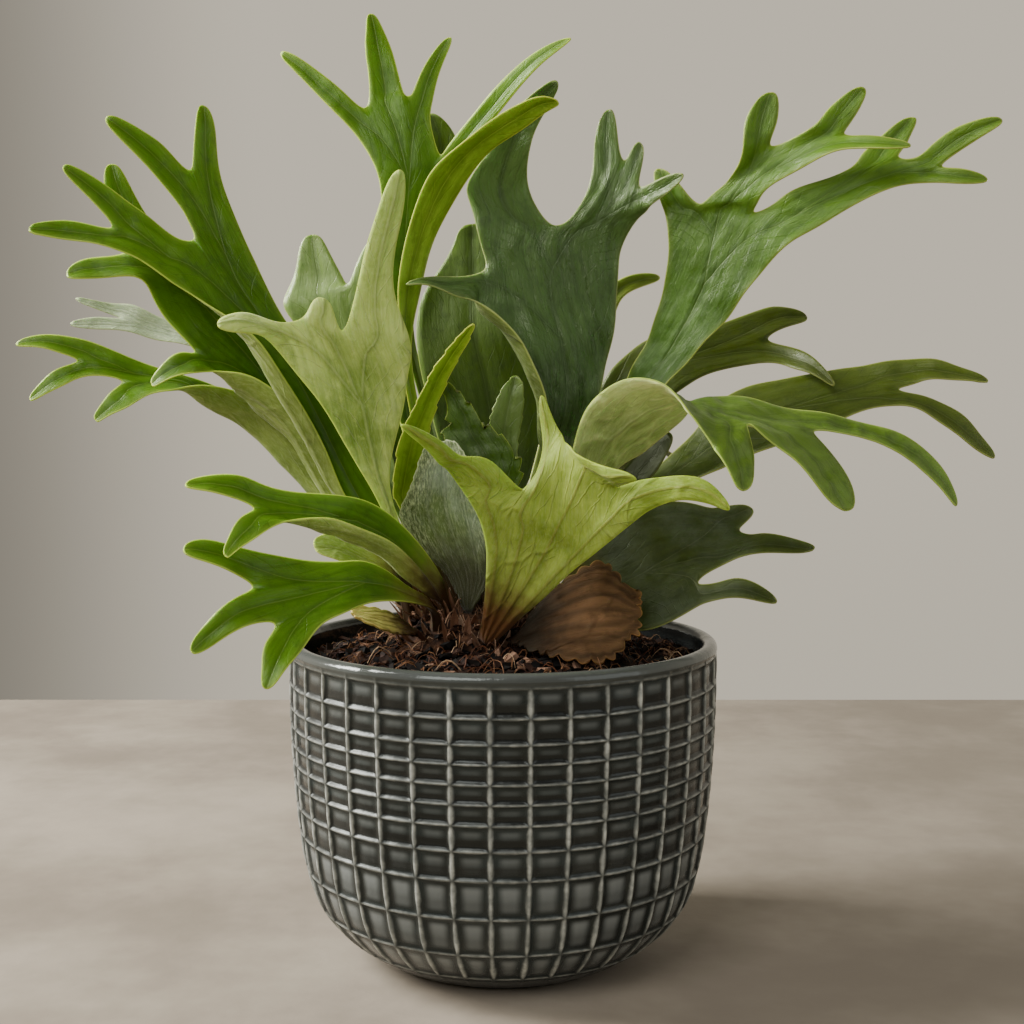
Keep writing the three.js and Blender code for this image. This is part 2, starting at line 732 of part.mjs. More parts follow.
function potGeometry() {
  const positions = [];
  const faces = [];
  const addPoint = (point) => positions.push(point) - 1;
  const addRing = (height, radius) =>
    Array.from({ length: GRID_COLUMNS }, (_, k) => addPoint(ringPoint(ridgeAngle(k), radius, height)));
  const next = (k) => (k + 1) % GRID_COLUMNS;
  const joinRings = (low, high) => {
    for (let k = 0; k < GRID_COLUMNS; k += 1) {
      faces.push([low[k], low[next(k)], high[next(k)]], [low[k], high[next(k)], high[k]]);
    }
  };

  const foot = addRing(0, FOOT_RADIUS);
  const grid = GRID_LINES.map(([height, radius]) => addRing(height, radius));
  const inside = potOutline().map(([height, radius]) => addRing(height, radius)).reverse();
  joinRings(foot, grid[0]);
  for (let line = 0; line + 1 < grid.length; line += 1) {
    addCells(grid[line], grid[line + 1], GRID_LINES[line], GRID_LINES[line + 1]);
  }
  joinRings(grid[grid.length - 1], inside[0]);
  inside.slice(1).forEach((ring, k) => joinRings(inside[k], ring));

  const floorMiddle = addPoint([0, 0, FLOOR]);
  const floorRing = inside[inside.length - 1];
  for (let k = 0; k < GRID_COLUMNS; k += 1) faces.push([floorRing[k], floorRing[next(k)], floorMiddle]);
  for (let k = 1; k + 1 < GRID_COLUMNS; k += 1) faces.push([foot[0], foot[k + 1], foot[k]]);
  return closedGeometry(positions, faces);

  // A row of sunk cells between two level ridges
  function addCells(low, high, [lowHeight, lowRadius], [highHeight, highRadius]) {
    const slant = Math.hypot(highHeight - lowHeight, highRadius - lowRadius);
    const lift = RIDGE_SPACE / slant;
    const radiusAt = (share) => lowRadius + (highRadius - lowRadius) * share - GRID_DEPTH;
    const heightAt = (share) => lowHeight + (highHeight - lowHeight) * share;
    for (let k = 0; k < GRID_COLUMNS; k += 1) {
      const turnLow = RIDGE_SPACE / lowRadius;
      const turnHigh = RIDGE_SPACE / highRadius;
      const start = ridgeAngle(k);
      const end = ridgeAngle(k + 1);
      const corners = [
        addPoint(ringPoint(start + turnLow, radiusAt(lift), heightAt(lift))),
        addPoint(ringPoint(end - turnLow, radiusAt(lift), heightAt(lift))),
        addPoint(ringPoint(end - turnHigh, radiusAt(1 - lift), heightAt(1 - lift))),
        addPoint(ringPoint(start + turnHigh, radiusAt(1 - lift), heightAt(1 - lift))),
      ];
      const ridges = [low[k], low[next(k)], high[next(k)], high[k]];
      for (let side = 0; side < 4; side += 1) {
        const after = (side + 1) % 4;
        faces.push([ridges[side], ridges[after], corners[after]]);
        faces.push([ridges[side], corners[after], corners[side]]);
      }
      faces.push([corners[0], corners[1], corners[2]], [corners[0], corners[2], corners[3]]);
    }
  }
}

// Soil and rootstock

function soilHeight(radius) {
  const share = radius / (RIM_RADIUS - WALL);
  return SOIL_EDGE + (SOIL_TOP - SOIL_EDGE) * (1 - share * share);
}

function lathe(outline, segments) {
  const profile = outline.map(([height, radius]) => new THREE.Vector2(radius, height));
  return new THREE.LatheGeometry(profile, segments).rotateX(Math.PI / 2);
}

function soilSolid() {
  const wall = potOutline().filter(([height]) => height < SOIL_EDGE);
  const top = [1, 0.85, 0.65, 0.4, 0.2].map((share) => {
    const radius = (RIM_RADIUS - WALL) * share;
    return [soilHeight(radius), share === 1 ? radius - CLEARANCE : radius];
  });
  const side = wall.map(([height, radius]) => [height + CLEARANCE, radius - CLEARANCE]);
  return solidOf(lathe([[FLOOR + CLEARANCE, 0], ...side, ...top, [SOIL_TOP, 0]], GRID_COLUMNS));
}

function crownHeight(x, y) {
  const share = Math.min(1, Math.hypot(x - CROWN.x, y - CROWN.y) / CROWN.radius);
  return CROWN.waist + (CROWN.top - CROWN.waist) * Math.sqrt(1 - share * share);
}

function crownSolid(clearance) {
  const dome = [0, 18, 36, 54, 72, 90].map((degrees) => {
    const angle = THREE.MathUtils.degToRad(degrees);
    const rise = (CROWN.top - CROWN.waist + clearance) * Math.sin(angle);
    return [CROWN.waist + rise, (CROWN.radius + clearance) * Math.cos(angle)];
  });
  dome[dome.length - 1][1] = 0;
  const base = CROWN.foot - clearance;
  const outline = [[base, 0], [base, CROWN.footRadius + clearance], ...dome];
  return solidOf(lathe(outline, CROWN_SIDES).translate(CROWN.x, CROWN.y, 0));
}

// Fronds

function columnWeights(lobe) {
  if (lobe.lobes) return lobe.lobes.flatMap(columnWeights);
  if (lobe.roll) return [ROLL_SHARE, 1];
  return Array(lobe.columns ?? 1).fill(1);
}

function pointsOf(row, inSpace) {
  const points = [];
  for (let k = 0; k < row.length; k += 3) {
    const [a, b, c] = row.slice(k, k + 3);
    points.push(inSpace ? new THREE.Vector3(a, b, c) : traced(a, b, c));
  }
  return points;
}

// Points between two margins, in step with the columns' weights; a cup pushes the middle back
function spread(left, right, weights, cup) {
  const total = weights.reduce((sum, weight) => sum + weight, 0);
  const points = [left];
  let sum = 0;
  for (const weight of weights) {
    sum += weight;
    const share = sum / total;
    const point = left.clone().lerp(right, share);
    point.y += cup * left.distanceTo(right) * 4 * share * (1 - share);
    points.push(point);
  }
  return points;
}

function rowAcross(row, weights, frond) {
  const points = pointsOf(row, frond.inSpace);
  if (points.length === 2) return spread(points[0], points[1], weights, frond.cup ?? 0);
  const [margin, fold, right] = points;
  return [margin, ...spread(fold, right, weights.slice(1), frond.cup ?? 0)];
}

function frondSheet(frond) {
  const sheet = { points: [], thickness: [], quads: [] };
  const blade = frond.thickness ?? BLADE_THICKNESS;
  const weights = columnWeights(frond);
  const addRow = (points, thickness) => points.map((point) => {
    sheet.thickness.push(thickness);
    return sheet.points.push(point) - 1;
  });
  const joinRows = (low, high) => {
    for (let k = 0; k + 1 < low.length; k += 1) {
      sheet.quads.push([low[k], low[k + 1], high[k + 1], high[k]]);
    }
  };

  const stalk = stalkRows(frond);
  const end = addRow(spread(...stalk[0], weights, 0), STALK_THICKNESS);
  const collar = addRow(spread(...stalk[1], weights, 0), STALK_THICKNESS);
  joinRows(end, collar);
  grow(frond, collar, (share) => THREE.MathUtils.lerp(STALK_THICKNESS, blade, Math.min(1, share * 1.3)));
  return sheet;

  function grow(lobe, start, thicknessAt) {
    const lobeWeights = columnWeights(lobe);
    let last = start;
    lobe.rows.forEach((row, k) => {
      const thickness = thicknessAt((k + 1) / (lobe.rows.length + 1));
      const here = addRow(rowAcross(row, lobeWeights, frond), thickness);
      joinRows(last, here);
      last = here;
    });
    if (lobe.lobes) fork(lobe, last);
    else joinRows(last, addRow(tipRow(lobe, last, lobeWeights), blade * TIP_THINNING));
  }

  function fork(lobe, last) {
    const ends = pointsOf(lobe.fork, frond.inSpace);
    const line = [ends[0]];
    lobe.lobes.forEach((child, k) => {
      line.push(...spread(ends[k], ends[k + 1], columnWeights(child), 0).slice(1));
    });
    const here = addRow(line, blade);
    joinRows(last, here);
    let first = 0;
    for (const child of lobe.lobes) {
      const count = columnWeights(child).length;
      grow(child, here.slice(first, first + count + 1), () => blade);
      first += count;
    }
  }

  function tipRow(lobe, last, lobeWeights) {
    const [tip] = pointsOf(lobe.tip, frond.inSpace);
    const across = sheet.points[last[last.length - 1]].clone().sub(sheet.points[last[0]]);
    const width = lobe.blunt ?? Math.max(TIP_WIDTH, across.length() * TIP_SHARE);
    across.setLength(width / 2);
    return spread(tip.clone().sub(across), tip.clone().add(across), lobeWeights, 0);
  }
}

// The stalk's first two rows: its end inside the rootstock, and where it comes out
function stalkRows(frond, extra = 0) {
  const [x, y, width] = frond.foot;
  const mouth = new THREE.Vector3(x, y, crownHeight(x, y));
  const first = pointsOf(frond.rows[0], frond.inSpace);
  const left = first[0];
  const right = first[first.length - 1];
  const middle = left.clone().add(right).multiplyScalar(0.5);
  const inward = mouth.clone().sub(middle).setLength(STALK_DEPTH + extra);
  const across = right.clone().sub(left).setZ(0).setLength(width / 2 + extra);
  return [mouth.clone().add(inward), mouth].map((centre) =>
    [centre.clone().sub(across), centre.clone().add(across)]);
}

function sheetNormals(sheet) {
  const normals = sheet.points.map(() => new THREE.Vector3());
  for (const quad of sheet.quads) {
    const [a, b, c, d] = quad.map((id) => sheet.points[id]);
    const normal = c.clone().sub(a).cross(d.clone().sub(b));
    quad.forEach((id) => normals[id].add(normal));
  }
  return normals.map((normal) => normal.normalize());
}

// A sheet with its thickness: both faces split alike, and walls along every free edge
function thickSheet(sheet) {
  const normals = sheetNormals(sheet);
  const count = sheet.points.length;
  const shifted = (side) => sheet.points.map((point, id) => {
    const moved = point.clone().addScaledVector(normals[id], (side * sheet.thickness[id]) / 2);
    return moved.toArray();
  });
  const positions = [...shifted(1), ...shifted(-1)];
  const faces = [];
  const free = new Map();
  for (const [a, b, c, d] of sheet.quads) {
    faces.push([a, b, c], [a, c, d]);
    faces.push([c + count, b + count, a + count], [d + count, c + count, a + count]);
    for (const [from, to] of [[a, b], [b, c], [c, d], [d, a]]) {
      if (!free.delete(`${to} ${from}`)) free.set(`${from} ${to}`, [from, to]);
    }
  }
  for (const [from, to] of free.values()) {
    faces.push([to, from, from + count], [to, from + count, to + count]);
  }
  return closedGeometry(positions, faces);
}

// The hole for a stalk: the stalk's own shape from its end to its first traced row, grown
function stalkHole(frond) {
  const rows = stalkRows(frond, HOLE_CLEARANCE);
  const first = pointsOf(frond.rows[0], frond.inSpace);
  const outer = [first[0], first[first.length - 1]];
  const across = outer[1].clone().sub(outer[0]).setLength(HOLE_CLEARANCE);
  rows.push([outer[0].clone().sub(across), outer[1].clone().add(across)]);
  const sheet = { points: rows.flat(), thickness: [], quads: [[0, 1, 3, 2], [2, 3, 5, 4]] };
  sheet.thickness = sheet.points.map(() => STALK_THICKNESS + 2 * HOLE_CLEARANCE);
  return solidOf(thickSheet(sheet));
}

// Meshes and solids

function closedGeometry(positions, faces) {
  const geometry = new THREE.BufferGeometry();
  geometry.setAttribute("position", new THREE.Float32BufferAttribute(positions.flat(), 3));
  geometry.setIndex(faces.flat());
  return geometry;
}

function solidOf(geometry) {
  const bare = geometry.clone();
  bare.deleteAttribute("normal");
  bare.deleteAttribute("uv");
  const merged = mergeVertices(bare, 1e-4);
  const vertProperties = new Float32Array(merged.attributes.position.array);
  const triVerts = new Uint32Array(merged.index.array);
  return new wasm.Manifold(new wasm.Mesh({ numProp: 3, vertProperties, triVerts }));
}

function geometryOf(solid) {
  const mesh = solid.getMesh();
  const geometry = new THREE.BufferGeometry();
  geometry.setAttribute("position", new THREE.BufferAttribute(mesh.vertProperties, 3));
  geometry.setIndex(new THREE.BufferAttribute(mesh.triVerts, 1));
  return geometry;
}

function addMesh(group, name, geometry, finish) {
  geometry.computeVertexNormals();
  const mesh = new THREE.Mesh(geometry, new THREE.MeshStandardMaterial(finish));
  mesh.name = name;
  group.add(mesh);
}

// Assembly

const plant = new THREE.Group();
const holes = FRONDS.map(stalkHole);
const cutAll = (solid) => holes.reduce((rest, hole) => rest.subtract(hole), solid);

addMesh(plant, "pot", potGeometry(), DARK_GLAZE);
addMesh(plant, "soil", geometryOf(cutAll(soilSolid().subtract(crownSolid(CLEARANCE)))), DARK_SOIL);
addMesh(plant, "rootstock", geometryOf(cutAll(crownSolid(0))), BARK_BROWN);
for (const frond of FRONDS) addMesh(plant, frond.name, thickSheet(frondSheet(frond)), frond.finish);

export default plant;
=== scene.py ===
# The looks of a staghorn fern in a glazed pot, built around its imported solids, with +Z up and
# -Y to the front. Sizes are in millimetres, apart from the stage's and the heights in the glaze's
# finish, and are turned into metres where they are used.
import bmesh
import bpy
import math
import numpy as np
import random
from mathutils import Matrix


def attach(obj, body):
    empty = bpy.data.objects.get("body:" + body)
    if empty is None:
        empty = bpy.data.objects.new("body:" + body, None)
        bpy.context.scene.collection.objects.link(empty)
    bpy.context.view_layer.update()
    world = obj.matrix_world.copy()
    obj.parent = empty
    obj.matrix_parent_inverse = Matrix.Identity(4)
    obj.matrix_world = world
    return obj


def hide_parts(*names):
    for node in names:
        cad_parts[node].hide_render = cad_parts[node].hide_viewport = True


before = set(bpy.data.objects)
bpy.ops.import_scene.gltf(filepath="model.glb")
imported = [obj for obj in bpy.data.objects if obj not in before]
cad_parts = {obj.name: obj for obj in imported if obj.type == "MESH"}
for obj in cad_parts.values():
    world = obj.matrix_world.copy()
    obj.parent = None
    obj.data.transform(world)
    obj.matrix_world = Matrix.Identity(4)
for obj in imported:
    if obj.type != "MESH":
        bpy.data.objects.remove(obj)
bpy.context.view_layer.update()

MM = 0.001
SEED = 7

# The picture that the fronds' outlines are traced on is 1024 by 1024 units. Its eye stands in
# front of the pot and looks a little down.
EYE = np.array((3.6, -640.0, 232.0))
LOOK_DOWN = math.radians(4.7)
FOCAL = 1597
PICTURE = 1024
SENSOR = 36.0

# Pot
POT_HEIGHT = 129
RIM_RADIUS = 86
WALL = 6
FLOOR = 9
FOOT_RADIUS = 47
HEEL_RADIUS = 1.5
GRID_COLUMNS = 37
FIRST_RIDGE = 6.9
GRID_DEPTH = 1.5
BAND_FOOT = 124

# The level ridges: the height of each and the wall's radius there
GRID_LINES = [
    (10, 63.2), (23, 74.7), (38.3, 80.1), (53.2, 82.5), (64.3, 83.7), (74, 84.5),
    (81.7, 85), (89, 85.4), (96.4, 85.7), (103.6, 85.9), (113, 86), (BAND_FOOT, RIM_RADIUS),
]
STEPS_PER_COLUMN = 14
STEPS_PER_LINE = 12
CROWDING = 0.62
INNER_HEIGHTS = (96, 80, 64, 50, 38, 28, 20)

# The distance to a ridge that is kept where there is no grid
FAR = 9

# Ridges: the width and what it gains between two crossings, then the height and what it gains
UPRIGHT_RIDGE = (0.95, 0.35, 0.72, 0.28)
LEVEL_RIDGE = (0.7, 0.2, 0.66, 0.2)

# Soil and rootstock
CLEARANCE = 0.3
SOIL_EDGE = 119
SOIL_TOP = 129
CROWN = dict(x=-12, y=1, radius=31, foot_radius=27, foot=116, waist=127, top=142)
BARE_CROWN = 24

# Rough ground: the depth, the length and the seed of each layer of waves
SOIL_WAVES = [(0.9, 9, 11), (0.7, 4, 12), (1.0, 22, 13)]
CROWN_WAVES = [(0.8, 12, 21), (0.5, 5, 22)]

# Fronds
STALK_DEPTH = 5
STALK_THICKNESS = 3.2
BLADE_THICKNESS = 1.25
THICK_STALK = 70
MARGIN_THICKNESS = 0.5
MARGIN_WIDTH = 1.2
RIB_HEIGHT = 0.45
RIB_WIDTH = 0.9
RIB_REACH = 2.5
TIP_SHARE = 0.55
TIP_WIDTH = 2.2
ROLL_SHARE = 0.4
CREASE_DEPTH = 0.9
CREASE_WIDTH = 3.2
WAVE_DEPTH = 0.8
WAVE_LENGTH = 24
WAVE_REACH = 7
PUCKER_DEPTH = 0.16
PUCKER_LENGTH = 8
WRINKLE_DEPTH = 0.12
WRINKLE_LENGTH = 7
TOOTH_REACH = 2.5
SMOOTH_LEVEL = 3
FIT_ROUNDS = 6
FIT_SHARE = 0.85

# Where the relief comes in along the frond and in from the margin: the start and the length
CREASE_ALONG = (0, 40)
WAVE_ALONG = (40, 40)
PUCKER_ALONG, PUCKER_EDGE = (30, 30), (0, 3)
WRINKLE_ALONG, WRINKLE_EDGE = (20, 30), (0, 4)

# Stage, in metres
FLOOR_EDGE = 0.51
FLOOR_SIZE = 6
LIT_POINT = (0, 0, 0.2)


def lobe(*rows, **options):
    """A lobe without a fork: its rows, then its tip"""
    return dict(rows=list(rows[:-1]), tip=rows[-1], **options)


# Fronds, as they stand in the picture: x and y in its units, and the depth in millimetres.
# A row is the points across the frond at one place, from its left margin to its right as the
# stalk grows away and the upper side is up. Rows with two points are a plain strip, and a
# third point between them is the fold of a rolled margin. A fork row has the sinuses between
# its outer points, and one lobe grows between each pair. A foot is x, y and the stalk's width
# where it leaves the rootstock. Fronds in space have real x, y and z instead of traced points.
# The finish names both sides and the slot, and upper or under names another material for one
# side. Tint scales the colour. Crease, pucker and wrinkle are depths of relief, teeth are the
# depth and length of the margin's teeth and whether they are torn, ribs is how many lines fan
# out from the foot, fan leads each lobe's rib back to the foot, and level is how finely the
# sheet is smoothed. Columns is how many strips lie side by side, cup hollows them, roll gives
# a lobe a narrow strip at its left margin for a rolled margin, and blunt is the width of an end
# that isn't pointed.
# Tint is partly each frond's own green and partly painted light and shade for how lit it looks
FRONDS = [
  dict(
    name="frond_left_high", finish="green", tint=1.3, foot=[-32, 0.5, 6],
    rows=[
      [393, 570, -4, 406, 561, 0], [346, 500, -10, 341, 501, -5, 376, 492, 0],
      [326, 452, -15, 316, 456, -9, 352, 440, -3], [303, 408, -19, 291, 412, -13, 330, 392, -5],
      [275, 364, -22, 262, 366, -15, 310, 350, -6], [243, 329, -24, 230, 323, -17, 283, 318, -6],
    ],
    fork=[188, 293, -20, 193, 240, -10, 259, 272, -4],
    lobes=[
      dict(
        rows=[[165, 278, -21, 175, 238, -12], [140, 261, -22, 150, 219, -13]],
        fork=[115, 251, -23, 111, 228, -19, 130, 204, -15],
        lobes=[
          lobe([88, 243, -25, 84, 224, -21], [58, 239, -27, 58, 221, -24], [29, 229, -28], roll=True),
          lobe([99, 209, -20, 112, 190, -16], [82, 191, -21, 90, 175, -18], [62, 165, -22]),
        ],
      ),
      dict(
        rows=[[189, 224, -8, 247, 246, -2]], fork=[180, 207, -8, 189, 170, -3, 229, 202, 0],
        lobes=[
          lobe([158, 180, -8, 168, 151, -3], [133, 153, -9, 146, 134, -4], [104, 117, -8]),
          lobe([193, 149, 0, 218, 165, 4], [195, 124, 3, 215, 132, 6], [203, 105, 8]),
        ],
      ),
    ],
  ),
  dict(
    name="frond_left_behind", finish="green", tint=1.5, foot=[-35, 5, 6],
    rows=[
      [385, 575, 4, 397, 567, 8], [333, 490, 2, 325, 494, 6, 346, 484, 10],
      [306, 432, -2, 295, 444, 5, 326, 420, 10], [284, 400, -5, 266, 417, 4, 308, 384, 10],
      [250, 377, -7, 242, 395, 2, 284, 352, 10],
    ],
    fork=[215, 372, -8, 194, 351, -3, 262, 318, 8],
    lobes=[
      lobe([190, 374, -11, 180, 354, -6], [170, 379, -13, 163, 366, -9], [151, 384, -13], roll=True),
      dict(
        rows=[[171, 326, -2, 240, 290, 9], [152, 298, -2, 218, 264, 10]],
        fork=[134, 279, -3, 128, 252, 3, 200, 250, 10],
        lobes=[
          lobe([91, 278, -5, 92, 258, 0], [66, 275, -4]),
          lobe(
            [132, 228, 6, 166, 236, 11], [111, 201, 8, 141, 206, 12], [104, 182, 9, 127, 180, 12],
            [111, 163, 12],
          ),
        ],
      ),
    ],
  ),
  dict(
    name="frond_left_low", finish="olive", upper="leaf_green", under="underside_green", tint=1.5,
    foot=[-38, 11, 6],
    rows=[
      [384, 583, 12, 390, 574, 18], [350, 535, 10, 344, 539, 14, 356, 528, 20],
      [326, 484, 12, 313, 496, 18, 330, 486, 24], [294, 446, 11, 282, 463, 19, 300, 450, 27],
      [267, 411, 10, 251, 432, 19, 272, 416, 28], [236, 393, 7, 224, 414, 15, 240, 399, 24],
      [198, 386, 3, 198, 400, 9, 206, 384, 19], [172, 392, 0, 176, 387, 5, 174, 374, 13],
    ],
    fork=[150, 396, -1, 122, 383, 3, 146, 365, 11],
    lobes=[
      lobe([129, 406, -5, 112, 392, -1], [113, 413, -7, 102, 404, -4], [95, 420, -8], roll=True),
      dict(
        rows=[[104, 377, 1, 118, 354, 8]], fork=[82, 378, -1, 77, 361, 2, 92, 343, 6],
        lobes=[
          lobe([64, 386, -4, 60, 369, 0], [46, 394, -6, 43, 381, -3], [29, 400, -7]),
          lobe([58, 353, 0, 68, 337, 4], [38, 348, -1, 43, 335, 2], [15, 344, -1]),
        ],
      ),
    ],
  ),
  dict(
    name="frond_left_inner", finish="pale", under="underside_white", pucker=0.25, crease=0.6, tint=1.45,
    foot=[-29, -6, 6.5], cup=0.08,
    rows=[
      [417, 566, -13, 406, 570, -13], [394, 505, -22, 381, 508, -24], [390, 470, -25, 362, 473, -30],
      [396, 438, -27, 342, 438, -34], [404, 406, -28, 321, 405, -37], [408, 375, -29, 299, 377, -39],
    ],
    fork=[411, 345, -30, 342, 330, -36, 300, 319, -40, 277, 350, -42],
    lobes=[
      lobe(
        [398, 306, -32, 351, 311, -36], [393, 275, -34, 359, 277, -37], [397, 240, -36, 367, 244, -39],
        [404, 205, -37, 379, 206, -40], [400, 168, -40],
      ),
      lobe([335, 317, -36, 310, 306, -38], [324, 298, -36]),
      lobe([274, 321, -44, 261, 336, -48], [246, 312, -48, 243, 333, -54], [216, 323, -56]),
    ],
  ),
  dict(
    name="frond_front_left_low", finish="green", tint=1.4, foot=[-26, -20, 6.5],
    rows=[
      [438, 613, -29, 431, 602, -27], [421, 605, -36, 411, 589, -32], [397, 602, -45, 388, 573, -38],
      [368, 604, -54, 362, 562, -44], [342, 615, -62, 330, 562, -50],
    ],
    fork=[319, 628, -70, 274, 623, -72, 252, 587, -68, 276, 557, -58],
    lobes=[
      lobe([303, 648, -78, 265, 645, -79], [287, 669, -84, 262, 668, -84], [266, 690, -88]),
      lobe([241, 629, -79, 229, 602, -76], [214, 645, -84, 205, 624, -82], [190, 652, -87]),
      lobe([230, 573, -74, 241, 547, -66], [204, 563, -78, 207, 541, -72], [182, 549, -78]),
    ],
  ),
  dict(
    name="frond_front_left_high", finish="green", tint=1.7, foot=[-21, -14, 6],
    rows=[
      [437, 592, -25, 440, 600, -22, 446, 590, -18], [411, 559, -34, 415, 582, -28, 434, 565, -22],
      [384, 538, -42, 381, 553, -36, 403, 527, -28], [352, 526, -50, 343, 538, -46, 371, 504, -36],
      [322, 519, -58, 315, 528, -54, 338, 496, -44],
    ],
    fork=[283, 523, -68, 253, 508, -66, 276, 489, -56],
    lobes=[
      lobe([259, 536, -75, 241, 517, -73], [241, 547, -79, 229, 535, -78], [225, 555, -82], roll=True),
      lobe([230, 497, -71, 243, 478, -62], [207, 491, -75, 211, 475, -68], [184, 485, -76]),
    ],
  ),
  dict(
    name="frond_top_left", finish="green", tint=1.65, foot=[-20, 13, 6.5],
    rows=[
      [439, 560, 20, 450, 560, 22], [422, 500, 25, 434, 500, 28], [402, 430, 30, 420, 430, 34],
      [390, 360, 34, 411, 362, 39], [385, 300, 37, 413, 300, 43], [383, 245, 40, 426, 245, 47],
      [381, 200, 42, 440, 205, 48],
    ],
    fork=[375, 168, 44, 439, 153, 48, 463, 163, 42],
    lobes=[
      dict(
        rows=[], fork=[357, 137, 47, 364, 108, 50, 406, 96, 52, 431, 125, 50],
        lobes=[
          lobe(
            [340, 118, 48, 347, 96, 51], [322, 100, 50, 328, 79, 52], [300, 77, 52, 305, 62, 54],
            [280, 53, 56],
          ),
          lobe(
            [369, 95, 52, 402, 89, 54], [368, 72, 54, 397, 70, 56], [365, 48, 56, 391, 48, 58],
            [366, 28, 58, 383, 28, 60], [371, 12, 61],
          ),
          lobe(
            [412, 94, 52, 432, 105, 52], [419, 77, 53, 438, 78, 54], [431, 55, 54, 447, 54, 55],
            [450, 36, 56],
          ),
        ],
      ),
      lobe(
        [449, 145, 44, 478, 140, 38], [472, 118, 40, 502, 110, 34], [496, 88, 36, 525, 82, 30],
        [525, 60, 32, 549, 58, 27], [570, 36, 26],
      ),
    ],
  ),
  dict(
    name="frond_top_strap", finish="green", upper="leaf_vivid", tint=1.2, foot=[-15, 6, 6.5],
    rows=[
      [443, 560, 6, 453, 560, 9], [424, 480, 6, 434, 480, 10], [407, 400, 4, 416, 400, 9],
      [401, 340, 1, 411, 336, 7], [396, 295, -2, 417, 297, 6], [404, 245, -4, 433, 244, 4],
      [418, 198, -6, 452, 202, 2], [434, 167, -7, 472, 172, 0], [462, 141, -8, 493, 149, -2],
      [500, 115, -9, 519, 131, -4], [533, 97, -9, 545, 112, -6],
    ],
    tip=[559, 101, -8],
  ),
  dict(
    name="frond_centre_broad", finish="deep", under="underside_olive", wrinkle=0.6, pucker=0.3, tint=1.6,
    foot=[0, 11, 7],
    rows=[
      [523, 560, 9, 535, 560, 12], [548, 480, 2, 540, 480, 6, 565, 478, 12],
      [549, 440, 0, 540, 442, 5, 577, 436, 13], [546, 404, -2, 537, 408, 4, 595, 402, 15],
      [536, 370, -3, 526, 373, 4, 604, 370, 17], [517, 338, -3, 506, 336, 5, 612, 338, 19],
      [492, 309, -2, 480, 308, 7, 616, 304, 21],
    ],
    fork=[468, 300, 2, 484, 270, 11, 618, 270, 23],
    lobes=[
      lobe([446, 293, -2, 456, 277, 5], [426, 286, -6, 433, 277, -1], [407, 283, -7], roll=True),
      dict(
        rows=[[480, 245, 13, 622, 247, 24]], fork=[471, 208, 14, 554, 226, 20, 635, 222, 23],
        lobes=[
          lobe(
            [467, 185, 13, 533, 199, 18], [483, 158, 12, 527, 170, 16], [501, 131, 10, 530, 145, 14],
            [519, 106, 8, 540, 121, 12], [558, 79, 6],
          ),
          dict(
            rows=[[576, 212, 22, 646, 210, 20]],
            fork=[588, 189, 24, 624, 160, 26, 640, 186, 20, 652, 205, 16],
            lobes=[
              lobe([593, 165, 27, 619, 147, 29], [595, 137, 30, 617, 128, 31], [608, 108, 33]),
              lobe([631, 150, 26, 642, 166, 24], [642, 143, 26]),
              lobe([656, 181, 14, 663, 197, 12], [685, 174, 4]),
            ],
          ),
        ],
      ),
    ],
  ),
  dict(
    name="frond_right_high", finish="deep", upper="leaf_fresh", wrinkle=0.25, tint=0.95, foot=[7, 8, 7],
    rows=[
      [543, 560, 13, 554, 564, 10], [582, 485, 17, 596, 492, 11], [608, 425, 16, 632, 434, 6],
      [628, 380, 17, 668, 385, 5], [646, 344, 17, 694, 356, 4], [659, 308, 17, 719, 328, 2],
      [668, 268, 17, 742, 299, 0], [669, 240, 17, 767, 266, -2],
    ],
    fork=[667, 222, 18, 755, 212, 6, 795, 241, -4],
    lobes=[
      dict(
        rows=[], fork=[664, 210, 19, 701, 204, 13, 758, 203, 4],
        lobes=[
          lobe([657, 192, 20, 686, 192, 16], [659, 168, 22]),
          dict(
            rows=[[715, 193, 12, 769, 188, 2]], fork=[731, 176, 9, 775, 146, 5, 797, 171, -4],
            lobes=[
              lobe([742, 150, 6, 773, 134, 5], [745, 121, 6, 778, 116, 6], [770, 92, 9]),
              dict(
                rows=[], fork=[812, 127, -3, 845, 134, -7, 833, 153, -12],
                lobes=[
                  lobe([828, 109, -3, 852, 121, -5], [865, 86, -3]),
                  lobe([861, 135, -13, 862, 149, -17], [884, 137, -17, 886, 149, -21], [912, 145, -22]),
                ],
              ),
            ],
          ),
        ],
      ),
      dict(
        rows=[[774, 204, 3, 820, 226, -6], [799, 189, 1, 850, 208, -7]],
        fork=[845, 173, 1, 899, 158, -3, 893, 188, -9],
        lobes=[
          lobe([861, 155, 2, 905, 147, 0], [880, 137, 3, 911, 135, 2], [912, 117, 4]),
          dict(
            rows=[[916, 158, -6, 922, 183, -10]], fork=[931, 146, -6, 942, 166, -9, 942, 183, -12],
            lobes=[
              lobe([951, 130, -8, 963, 149, -9], [975, 121, -9, 985, 135, -11], [1003, 119, -11]),
              lobe([960, 169, -12, 962, 184, -14], [989, 179, -15]),
            ],
          ),
        ],
      ),
    ],
  ),
  dict(
    name="frond_right_back", finish="olive", tint=0.85, foot=[6, 18, 6],
    rows=[
      [532, 560, 26, 542, 565, 22], [565, 480, 32, 578, 489, 27], [586, 420, 36, 606, 432, 30],
      [606, 380, 40, 646, 412, 30], [642, 344, 44, 684, 388, 30], [690, 333, 46, 716, 372, 32],
    ],
    fork=[748, 315, 46, 768, 340, 38, 766, 363, 32],
    lobes=[
      lobe([775, 306, 46, 785, 329, 40], [808, 316, 44]),
      lobe([790, 347, 32, 793, 369, 26], [813, 357, 22, 813, 375, 18], [836, 386, 10]),
    ],
  ),
  dict(
    name="frond_right_level", finish="olive", tint=1.1, foot=[13, 5, 6.5],
    rows=[
